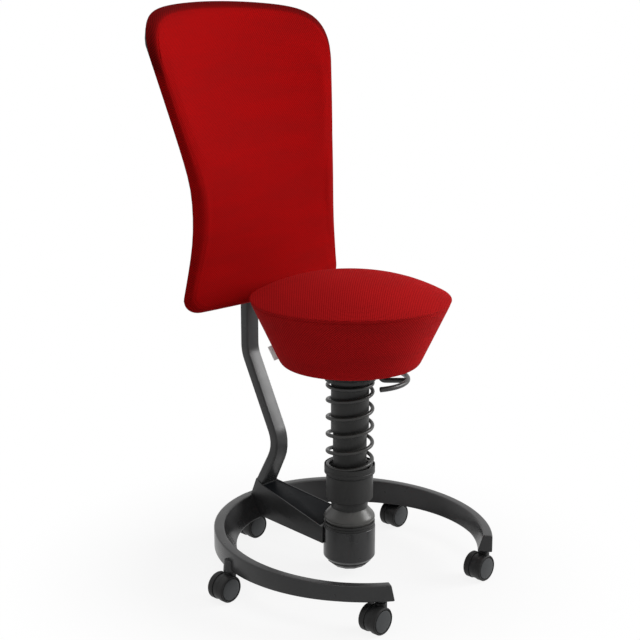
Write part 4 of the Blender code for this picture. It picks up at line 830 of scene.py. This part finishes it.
RING_STEPS = 110                          # along each half of the ring
SOCKET_EDGE = 0.0016
SEAM_EDGE, END_EDGE = 0.0007, 0.0022      # rounding where the ring meets the arm, and at its open ends
CAP_SHARE = 0.80                          # wheel cap, of the wheel's radius
DISH = 0.0012                             # the cap's middle stands this far out
CAP_GROOVE = ((0.0, -0.0004), (0.0002, -0.0022), (0.0014, -0.0022), (0.0017, -0.0003))    # round the cap
TYRE_EDGE = (0.0016, 0.0022)              # the tread's slope at the outer face: across and down
WHEEL_EDGE = 0.0007                       # chamfer at the inner face, and rounding of the outline
AXLE_HOLE, AXLE_END, AXLE_TIP = 0.0046, 0.0025, 0.0008
HOOD_EDGE = 0.0009                        # rounding of the castor's housing
DOME_SHARES = (0.06, 0.3, 0.5, 0.7, 0.85, 0.95)
HUB_BORE, HUB_INSIDE, HUB_FLOOR = 0.0088, 0.0368, 0.0125
HUB_CHAMFER = (0.005, 0.0062)             # in and up
HUB_EDGE, COLLAR_EDGE = 0.0022, 0.0005
COLLAR_BORE = 0.0430
COLLAR_GROOVE, GROOVE_HALF, GROOVE_FLOOR = 0.0014, 0.0010, 0.0006
BOOT_MOUTH = 0.0245
BOOT_SHOULDER = ((-0.0020, 0.0221), (0.0, 0.0178))      # out from the boot's side, up from the pivot
BOOT_LINING = 0.0458                      # radius of its inside at the foot
BOOT_INSIDE = ((0.0436, 0.0150), (0.0330, 0.0320), (BOOT_MOUTH, 0.0388))    # radius, up from the pivot
BOOT_ROUND = 0.02
BOOT_BULGE = math.radians(48.3)           # the ball's arc ends this far from its top
BOOT_LEDGE, BOOT_FOOT = 0.0046, 0.0490    # height of the part that sits in the hub, and its radius
KNOB_BORE, KNOB_FOOT, KNOB_EDGE = 0.0089, 0.034, 0.0012
KNOB_UPRIGHT = 0.35                       # share of the knob's height above its slope
# packed node, piece, rounding of its edges, finish and slot
ARM_PIECES = (("base_arm", "arm", 0.0008, "powder_coat", "ring_paint"),
              ("arm_cover", "arm_lid", 0.0007, "satin_lid", "cover_black"),
              ("back_upright", "upright", 0.0016, "powder_coat", "ring_paint"),
              ("back_bracket", "bracket", 0.0012, "moulded_black", "column_black"))


def ring_bend(base, point):
    """Draw a point of the plain round ring out to the oval that slims towards its ends."""
    flat = Vector((point.x, point.y))
    share = (flat.angle(Vector((0.0, 1.0))) - base.taper_from) / (base.taper_to - base.taper_from)
    share = min(1.0, max(0.0, share))
    left = base.end_foot + (base.end_wall - base.end_foot) * (point.z - base.low) / base.height
    depth = (base.half_width - flat.length) * (1 - share * (1 - left))
    flat = flat.normalized() * (base.half_width - depth)
    middle = base.low + base.height / 2
    z = middle + (point.z - middle) * (1 - share * (1 - base.end_height))
    return AXIS + Vector((flat.x, flat.y * base.half_length / base.half_width + base.shift, z))


class STOOL_OT_ring(bpy.types.Operator):
    """Make the two halves of the castor ring, with their sockets and slanted ends"""
    bl_idname = "stool.ring"
    bl_label = "Castor ring"

    def execute(self, context):
        base = context.scene.stool_base
        self.half(base, "ring_half_right", "ring_right", -1, ("right_rear", "right_front"))
        self.half(base, "ring_half_left", "ring_left", 1, ("left_front", "left_rear"))
        return {"FINISHED"}

    def half(self, base, node, name, side, castors):
        middle = base.low + base.height / 2
        start = (0.0, base.half_width - base.wall / 2, middle)
        deselect()
        bpy.ops.mesh.primitive_plane_add(size=1.0, location=start, rotation=(0.0, math.pi / 2, 0.0))
        ring = take(name)
        with editing():
            bpy.ops.transform.resize(value=(1.0, base.wall, base.height), center_override=start)
        freeze(ring)
        for vert in ring.data.vertices:
            if vert.co.y < start[1] and vert.co.z < middle:
                vert.co.y -= base.foot - base.wall
        with editing():
            bpy.ops.mesh.bevel(offset=base.edge, segments=5, affect="VERTICES")
            bpy.ops.mesh.select_all(action="SELECT")
            bpy.ops.mesh.spin(steps=RING_STEPS, angle=side * base.sweep, center=(0.0, 0.0, 0.0),
                              axis=(0.0, 0.0, 1.0))
        for vert in ring.data.vertices:
            vert.co = ring_bend(base, vert.co)
        ahead = Vector((-side * math.cos(base.end_angle), -math.sin(base.end_angle), 0.0))
        slanted = ahead * math.cos(base.end_slant) + Vector((0.0, 0.0, math.sin(base.end_slant)))
        end = Vector((side * math.sin(base.end_angle), -math.cos(base.end_angle), 0.0)) * base.half_width
        beside = Vector((side * base.arm_half, base.arm_back, 0.0))
        along = beside - Vector((side * base.arm_front_half, base.arm_front, 0.0))
        cuts = ((AXIS + beside, Vector((-side * along.y, side * along.x, 0.0)), 0.0),
                (AXIS + beside, Vector((-side, 0.0, 0.0)), SEAM_EDGE),
                (AXIS + end + Vector((0.0, 0.0, middle)), slanted, END_EDGE))
        with editing():
            for place, facing, round_over in cuts:
                bpy.ops.mesh.select_all(action="SELECT")
                bpy.ops.mesh.bisect(plane_co=place, plane_no=facing, use_fill=True, clear_outer=True)
                if round_over:
                    bpy.ops.mesh.bevel(offset=round_over, segments=3, affect="EDGES")
            bpy.ops.mesh.select_all(action="SELECT")
            bpy.ops.mesh.normals_make_consistent(inside=False)
        for castor in castors:
            x, y = JOINTS[f"castor_{castor}_swivel"]["pos_m"][:2]
            low, high = base.low + FIT, base.low + base.boss_height
            share = base.front_boss if castor.endswith("front") else 1.0
            outline = [(TIP, low), (base.boss * share, low), (base.boss_top * share, high), (TIP, high)]
            weld(ring, turn("castor_socket", soften(outline, SOCKET_EDGE), 48, (x, y)))
        settle(ring, 30.0)
        dress(ring, "powder_coat", "ring_paint", node)


class STOOL_OT_arm(bpy.types.Operator):
    """Make the arm, its lid, the upright and the bracket behind the backrest"""
    bl_idname = "stool.arm"
    bl_label = "Arm and upright"

    def execute(self, context):
        for node, name, edge, finish, slot in ARM_PIECES:
            dress(eased(node, name, edge), finish, slot, node)
        return {"FINISHED"}


class STOOL_OT_castors(bpy.types.Operator):
    """Make the ten castor wheels and the five housings"""
    bl_idname = "stool.castors"
    bl_label = "Castors"

    def execute(self, context):
        base = context.scene.stool_base
        half, rim = base.wheel_width / 2, base.wheel
        cap = rim * CAP_SHARE
        face = half - DISH
        dome = [(cap * share, half - DISH * share ** 2) for share in DOME_SHARES]
        side = [(cap + out, face + up) for out, up in CAP_GROOVE]
        side += [(rim - TYRE_EDGE[0], face), (rim, face - TYRE_EDGE[1]), (rim, -half + WHEEL_EDGE),
                 (rim - WHEEL_EDGE, -half), (AXLE_HOLE, -half), (AXLE_HOLE, AXLE_END), (AXLE_TIP, AXLE_END)]
        profile = dome + soften(side, WHEEL_EDGE, 3)
        pattern = turn("castor_wheel", profile, 64, (0.0, 0.0))
        pattern.data.materials.append(FINISHES["wheel_cap"])
        pattern.data.materials.append(FINISHES["wheel_tread"])
        for polygon in pattern.data.polygons:
            out = math.hypot(polygon.center.x, polygon.center.y)
            polygon.material_index = 0 if out < cap and polygon.center.z > 0 else 1
        for castor in CASTORS:
            for end, turned in (("front", math.pi / 2), ("rear", -math.pi / 2)):
                node = f"castor_{castor}_wheel_{end}"
                low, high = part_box(node)
                wheel = pattern.copy()
                wheel.data = pattern.data.copy()
                wheel.name = wheel.data.name = f"castor_{castor}_tyre_{end}"
                bpy.context.collection.objects.link(wheel)
                wheel.matrix_world = Matrix.Translation((low + high) / 2) @ Matrix.Rotation(turned, 4, "X")
                freeze(wheel)
                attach(wheel, node)
                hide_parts(node)
            hood = eased(f"castor_{castor}_housing", f"castor_{castor}_hood", HOOD_EDGE)
            dress(hood, "castor_nylon", "castor_black", f"castor_{castor}_housing")
        bpy.data.objects.remove(pattern, do_unlink=True)
        return {"FINISHED"}


class STOOL_OT_hub(bpy.types.Operator):
    """Make the hub, its collar, the rubber boot and the knob below"""
    bl_idname = "stool.hub"
    bl_label = "Hub and knob"

    def execute(self, context):
        base = context.scene.stool_base
        column = context.scene.stool_column
        low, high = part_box("hub_housing")
        outline = [(HUB_BORE, low.z), (base.hub - HUB_CHAMFER[0], low.z), (base.hub, low.z + HUB_CHAMFER[1]),
                   (base.hub, high.z), (HUB_INSIDE, high.z), (HUB_INSIDE, low.z + HUB_FLOOR),
                   (HUB_BORE, low.z + HUB_FLOOR)]
        hub = turn("hub", outlined(outline, HUB_EDGE, 5), base.sides)
        dress(hub, "powder_coat", "ring_paint", "hub_housing")
        low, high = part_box("hub_collar")
        mid = (low.z + high.z) / 2
        out = (high.x - low.x) / 2
        groove = out - COLLAR_GROOVE
        outline = [(COLLAR_BORE, low.z), (out, low.z), (out, mid - GROOVE_HALF),
                   (groove, mid - GROOVE_FLOOR), (groove, mid + GROOVE_FLOOR), (out, mid + GROOVE_HALF),
                   (out, high.z), (COLLAR_BORE, high.z)]
        collar = turn("collar", outlined(outline, COLLAR_EDGE), base.sides)
        dress(collar, "moulded_black", "column_black", "hub_collar")
        low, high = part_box("joint_boot")
        out = (high.x - low.x) / 2
        foot, pivot = low.z + BOOT_LEDGE, column.pivot
        ball = ball_line(column.boot, pivot, math.asin(BOOT_MOUTH / column.boot), BOOT_BULGE, 24)
        side = [(out + away, pivot + up) for away, up in BOOT_SHOULDER]
        side += [(out, foot), (BOOT_FOOT, foot), (BOOT_FOOT, low.z)]
        inner = [(BOOT_LINING, low.z), *((radius, pivot + up) for radius, up in BOOT_INSIDE)]
        outer = soften(ball + side, BOOT_ROUND, 5)
        boot = turn("boot", outer + inner + [outer[0]], base.sides)
        dress(boot, "boot_rubber", "rubber", "joint_boot")
        self.knob()
        return {"FINISHED"}

    def knob(self):
        """Twelve-sided hand knob with eased corners."""
        low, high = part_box("adjuster_knob")
        out = (high.x - low.x) / 2
        rise = high.z - low.z
        outline = [(KNOB_BORE, low.z), (KNOB_FOOT, low.z), (out, high.z - rise * KNOB_UPRIGHT),
                   (out, high.z), (KNOB_BORE, high.z), (KNOB_BORE, low.z)]
        knob = turn("hand_knob", outline, 12)
        press_on(knob, "BEVEL", width=KNOB_EDGE, segments=3, limit_method="ANGLE",
                 angle_limit=math.radians(20))
        settle(knob, 25.0)
        dress(knob, "moulded_black", "ring_paint", "adjuster_knob")


# Column

CUP_BORE, CUP_FLOOR = 0.0123, 0.168       # hole for the ball stem, and the floor's height over the ground
BOOT_ROOM = 0.0009                        # between the boot and the cup's neck
NECK_RISE = 0.0042                        # upright part of the neck
SHOULDER_DROP = 0.0540                    # cup's rim to the end of its shoulder
SHOULDER_POWER = 0.8
CUP_GROOVE = ((0.0, -0.0040), (-0.0007, -0.0034), (-0.0007, -0.0022), (0.0, -0.0016))    # from the cup's rim
LIP_WALL, LIP_FLOOR, LIP_EDGE = 0.0018, 0.003, 0.0007
LIP_GROOVE = ((0.0, 0.0045), (-0.0008, 0.0052), (-0.0008, 0.0066), (0.0, 0.0073))    # from the ring's foot
GUIDE_WALL, SLEEVE_WALL, TUBE_EDGE = 0.0038, 0.0035, 0.0011
COIL_END = math.radians(74.0)             # the wire's upper end, round the column axis
COIL_POINTS = 40                          # in each turn
LEVER_TURN = math.radians(-48.4)          # the lever, round the column axis
LEVER_START, LEVER_DROP_AT = -0.004, 0.061
LEVER_BEND, LEVER_EDGE = 0.011, 0.0008
GRIP_MIDDLE, GRIP_RADIUS = (0.0319, 0.0137), 0.0842
GRIP_FROM, GRIP_SPAN, GRIP_STEPS = -71.0, 117.0, 40


class STOOL_OT_column(bpy.types.Operator):
    """Make the spring cup, the preload ring and the two guide tubes"""
    bl_idname = "stool.column"
    bl_label = "Spring column"

    def execute(self, context):
        column = context.scene.stool_column
        sides = context.scene.stool_base.sides
        skin, bore = column.boot + BOOT_ROOM, column.lower_tube + FIT
        under = ball_line(skin, column.pivot, math.asin(CUP_BORE / skin), math.asin(column.neck / skin), 12)
        neck_low = under[-1][1]
        shoulder = column.cup_top - SHOULDER_DROP
        bend = []
        for i in range(9):
            angle = math.pi / 2 * i / 8
            bend.append((column.neck + (column.cup - column.neck) * (1 - math.cos(angle)) ** SHOULDER_POWER,
                         neck_low + NECK_RISE + (shoulder - neck_low - NECK_RISE) * math.sin(angle)))
        top = [(column.cup + out, column.cup_top + up) for out, up in CUP_GROOVE]
        top += [(column.cup, column.cup_top), (bore, column.cup_top), (bore, CUP_FLOOR),
                (CUP_BORE, CUP_FLOOR), under[0]]
        cup = turn("spring_bowl", under + bend + top, sides)
        dress(cup, "moulded_black", "cup_black", "spring_cup")
        low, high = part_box("preload_ring")
        outer, inner, floor = column.lip, column.lip - LIP_WALL, low.z + LIP_FLOOR
        outline = [(bore, low.z), (outer, low.z), *((outer + out, low.z + up) for out, up in LIP_GROOVE),
                   (outer, high.z), (inner, high.z), (inner, floor), (bore, floor)]
        lip = turn("preload_cup", outlined(outline, LIP_EDGE), sides)
        dress(lip, "moulded_black", "cup_black", "preload_ring")
        for node, name, radius, wall in (("lower_tube", "guide_tube", column.lower_tube, GUIDE_WALL),
                                         ("upper_tube", "sleeve_tube", column.sleeve, SLEEVE_WALL)):
            low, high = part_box(node)
            outline = [(radius - wall, low.z), (radius, low.z), (radius, high.z), (radius - wall, high.z)]
            made = turn(name, outlined(outline, TUBE_EDGE, 4), sides)
            dress(made, "moulded_black", "tube_black", node)
        return {"FINISHED"}


class STOOL_OT_spring(bpy.types.Operator):
    """Wind the coil spring at its packed length; on the stool it shortens as the seat bounces"""
    bl_idname = "stool.spring"
    bl_label = "Coil spring"

    def execute(self, context):
        column = context.scene.stool_column
        low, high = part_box("coil_spring")
        bottom, top = low.z + column.wire, high.z - column.wire
        turns = (top - bottom - 2 * column.end_pitch) / column.pitch + 2
        count = round(turns * COIL_POINTS)
        points = []
        for i in range(count + 1):
            done = turns * i / count
            if done < 1:
                z = bottom + column.end_pitch * done
            elif done > turns - 1:
                z = top - column.end_pitch * (turns - done)
            else:
                z = bottom + column.end_pitch + column.pitch * (done - 1)
            angle = COIL_END - math.tau * (turns - done)
            points.append(AXIS + Vector((column.coil * math.cos(angle), column.coil * math.sin(angle), z)))
        coil = tube("spring_coil", points, column.wire, resolution=5)
        dress(coil, "coated_wire", "spring_steel", "coil_spring")
        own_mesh(coil)
        return {"FINISHED"}


class STOOL_OT_lever(bpy.types.Operator):
    """Bend the height lever with its curved grip"""
    bl_idname = "stool.lever"
    bl_label = "Height lever"

    def execute(self, context):
        column = context.scene.stool_column
        high = JOINTS["lever_pull"]["pos_m"][2]
        aim = Matrix.Translation(AXIS) @ Matrix.Rotation(LEVER_TURN, 4, "Z")
        away, aside = GRIP_MIDDLE
        reach = away + math.sqrt(GRIP_RADIUS ** 2 - aside ** 2)
        stalk = soften([(LEVER_START, 0.0, high), (LEVER_DROP_AT, 0.0, high),
                        (LEVER_DROP_AT, 0.0, column.grip_z), (reach, 0.0, column.grip_z)], LEVER_BEND, 8)
        lever = self.bar("lever_bar", [aim @ Vector(point) for point in stalk], column.lever)
        arc = []
        for i in range(GRIP_STEPS + 1):
            angle = math.radians(GRIP_FROM + GRIP_SPAN * i / GRIP_STEPS)
            arc.append(aim @ Vector((away + GRIP_RADIUS * math.cos(angle),
                                     aside + GRIP_RADIUS * math.sin(angle), column.grip_z)))
        weld(lever, self.bar("lever_grip", arc, column.lever))
        settle(lever, 40.0)
        dress(lever, "coated_wire", "column_black", "height_lever")
        return {"FINISHED"}

    def bar(self, name, points, radius):
        """Round bar with eased ends."""
        return press_on(tube(name, points, radius), "BEVEL", width=LEVER_EDGE, segments=2,
                        limit_method="ANGLE", angle_limit=math.radians(50))


# Studio

CAMERA_PLACE = (-1.945, -1.727, 1.178)    # from the column's foot, like the lamps
CAMERA_AIM = (0.7322 * 0.9707, 0.6813 * 0.9707, -0.2403)
FILM_WIDTH = 36.0
LAMP_TARGET = (0.0, 0.0, 0.5)
LAMPS = (("key", (2.40, -1.80, 1.62), 1.7, "key"), ("overhead", (0.0, -0.2, 3.0), 2.4, "top"),
         ("behind", (-1.2, 2.4, 2.0), 1.6, "rim"))    # name, place, size and its setting of the studio
FLOOR_CLEARS = {"From Min": 0.25, "From Max": 0.70, "To Min": 0.87, "To Max": 1.0}    # shadow near the stool


def looked_at(nodes, links):
    """Value that is 1 for what the camera sees, directly, mirrored or through glass."""
    path = nodes.new("ShaderNodeLightPath")
    value = path.outputs["Is Camera Ray"]
    for name in ("Is Glossy Ray", "Is Transmission Ray"):
        most = nodes.new("ShaderNodeMath")
        most.operation = "MAXIMUM"
        links.new(value, most.inputs[0])
        links.new(path.outputs[name], most.inputs[1])
        value = most.outputs["Value"]
    return value


class STOOL_OT_studio(bpy.types.Operator):
    """Set up the pale floor, the soft lights and the camera"""
    bl_idname = "stool.studio"
    bl_label = "Studio"

    def execute(self, context):
        studio = context.scene.stool_studio
        scene = context.scene
        scene.view_settings.view_transform = "Standard"
        self.floor()
        self.surroundings(scene, studio.air)
        for name, place, size, setting in LAMPS:
            self.lamp(name, place, getattr(studio, setting), size)
        sight = bpy.data.cameras.new("photo_camera")
        sight.sensor_width = FILM_WIDTH
        sight.lens = studio.focal
        camera = bpy.data.objects.new("photo_camera", sight)
        scene.collection.objects.link(camera)
        camera.location = AXIS + Vector(CAMERA_PLACE)
        camera.rotation_euler = Vector(CAMERA_AIM).to_track_quat("-Z", "Y").to_euler()
        scene.camera = camera
        return {"FINISHED"}

    def floor(self):
        """Pale floor that shows nearly white to the camera and keeps part of the shadow."""
        deselect()
        bpy.ops.mesh.primitive_plane_add(size=40.0, location=(0.0, 0.0, -0.0005))
        ground = take("studio_floor")
        pale = Finish("pale_floor")
        pale.set(Base_Color=(0.86, 0.86, 0.86, 1.0), Roughness=0.9, Specular_IOR_Level=0.0)
        white, blend = pale.add("ShaderNodeEmission"), pale.add("ShaderNodeMixShader")
        away = pale.add("ShaderNodeVectorMath", operation="LENGTH")
        clear = pale.add("ShaderNodeMapRange", FLOOR_CLEARS, interpolation_type="SMOOTHSTEP")
        share = pale.add("ShaderNodeMath", operation="MULTIPLY")
        for output, socket in ((pale.here, away.inputs[0]),
                               (away.outputs["Value"], clear.inputs["Value"]),
                               (looked_at(pale.nodes, pale.links), share.inputs[0]),
                               (clear.outputs["Result"], share.inputs[1]),
                               (share.outputs["Value"], blend.inputs["Fac"]),
                               (pale.shader.outputs["BSDF"], blend.inputs[1]),
                               (white.outputs["Emission"], blend.inputs[2]),
                               (blend.outputs["Shader"], pale.nodes["Material Output"].inputs["Surface"])):
            pale.links.new(output, socket)
        ground.data.materials.append(pale.material)

    def surroundings(self, scene, strength):
        """White for the camera and for reflections, a plain level of light otherwise."""
        world = bpy.data.worlds.new("studio_air")
        scene.world = world
        world.use_nodes = True
        nodes, links = world.node_tree.nodes, world.node_tree.links
        backdrop = nodes["Background"]
        backdrop.inputs["Color"].default_value = (1.0, 1.0, 1.0, 1.0)
        level = nodes.new("ShaderNodeMapRange")
        level.inputs["To Min"].default_value = strength
        level.inputs["To Max"].default_value = 1.0
        links.new(looked_at(nodes, links), level.inputs["Value"])
        links.new(level.outputs["Result"], backdrop.inputs["Strength"])

    def lamp(self, name, place, watts, size):
        """One soft area light that points at the seat."""
        light = bpy.data.lights.new(name, "AREA")
        light.shape = "DISK"
        light.size = size
        light.energy = watts
        lamp = bpy.data.objects.new(name, light)
        bpy.context.scene.collection.objects.link(lamp)
        lamp.location = AXIS + Vector(place)
        aim = AXIS + Vector(LAMP_TARGET) - lamp.location
        lamp.rotation_euler = aim.to_track_quat("-Z", "Y").to_euler()


# Sidebar

MAKERS = (STOOL_OT_finishes, STOOL_OT_seat, STOOL_OT_backrest, STOOL_OT_ring, STOOL_OT_arm, STOOL_OT_castors,
          STOOL_OT_hub, STOOL_OT_column, STOOL_OT_spring, STOOL_OT_lever, STOOL_OT_studio)
SETTINGS = {"stool_colours": StoolColours, "stool_seat": StoolSeat, "stool_back": StoolBack,
            "stool_base": StoolBase, "stool_column": StoolColumn, "stool_studio": StoolStudio}


class STOOL_PT_sidebar(bpy.types.Panel):
    """Sizes, colours and makers of the stool"""
    bl_idname = "STOOL_PT_sidebar"
    bl_label = "Balance stool"
    bl_space_type = "VIEW_3D"
    bl_region_type = "UI"
    bl_category = "Stool"

    def draw(self, context):
        for maker in MAKERS:
            self.layout.operator(maker.bl_idname, text=maker.bl_label)
        for name, group in SETTINGS.items():
            box = self.layout.box()
            box.label(text=group.__doc__)
            for key in group.__annotations__:
                box.prop(getattr(context.scene, name), key)


def register():
    """Add the settings, the makers and the panel."""
    for group in SETTINGS.values():
        bpy.utils.register_class(group)
    for maker in (*MAKERS, STOOL_PT_sidebar):
        bpy.utils.register_class(maker)
    for name, group in SETTINGS.items():
        setattr(bpy.types.Scene, name, PointerProperty(type=group))


def unregister():
    """Take everything away again."""
    for name in SETTINGS:
        delattr(bpy.types.Scene, name)
    for maker in reversed((*MAKERS, STOOL_PT_sidebar)):
        bpy.utils.unregister_class(maker)
    for group in reversed(SETTINGS.values()):
        bpy.utils.unregister_class(group)


def main():
    """Register the settings and make every piece in order."""
    register()
    for maker in MAKERS:
        getattr(bpy.ops.stool, maker.bl_idname.split(".")[1])()


if __name__ == "__main__":
    main()
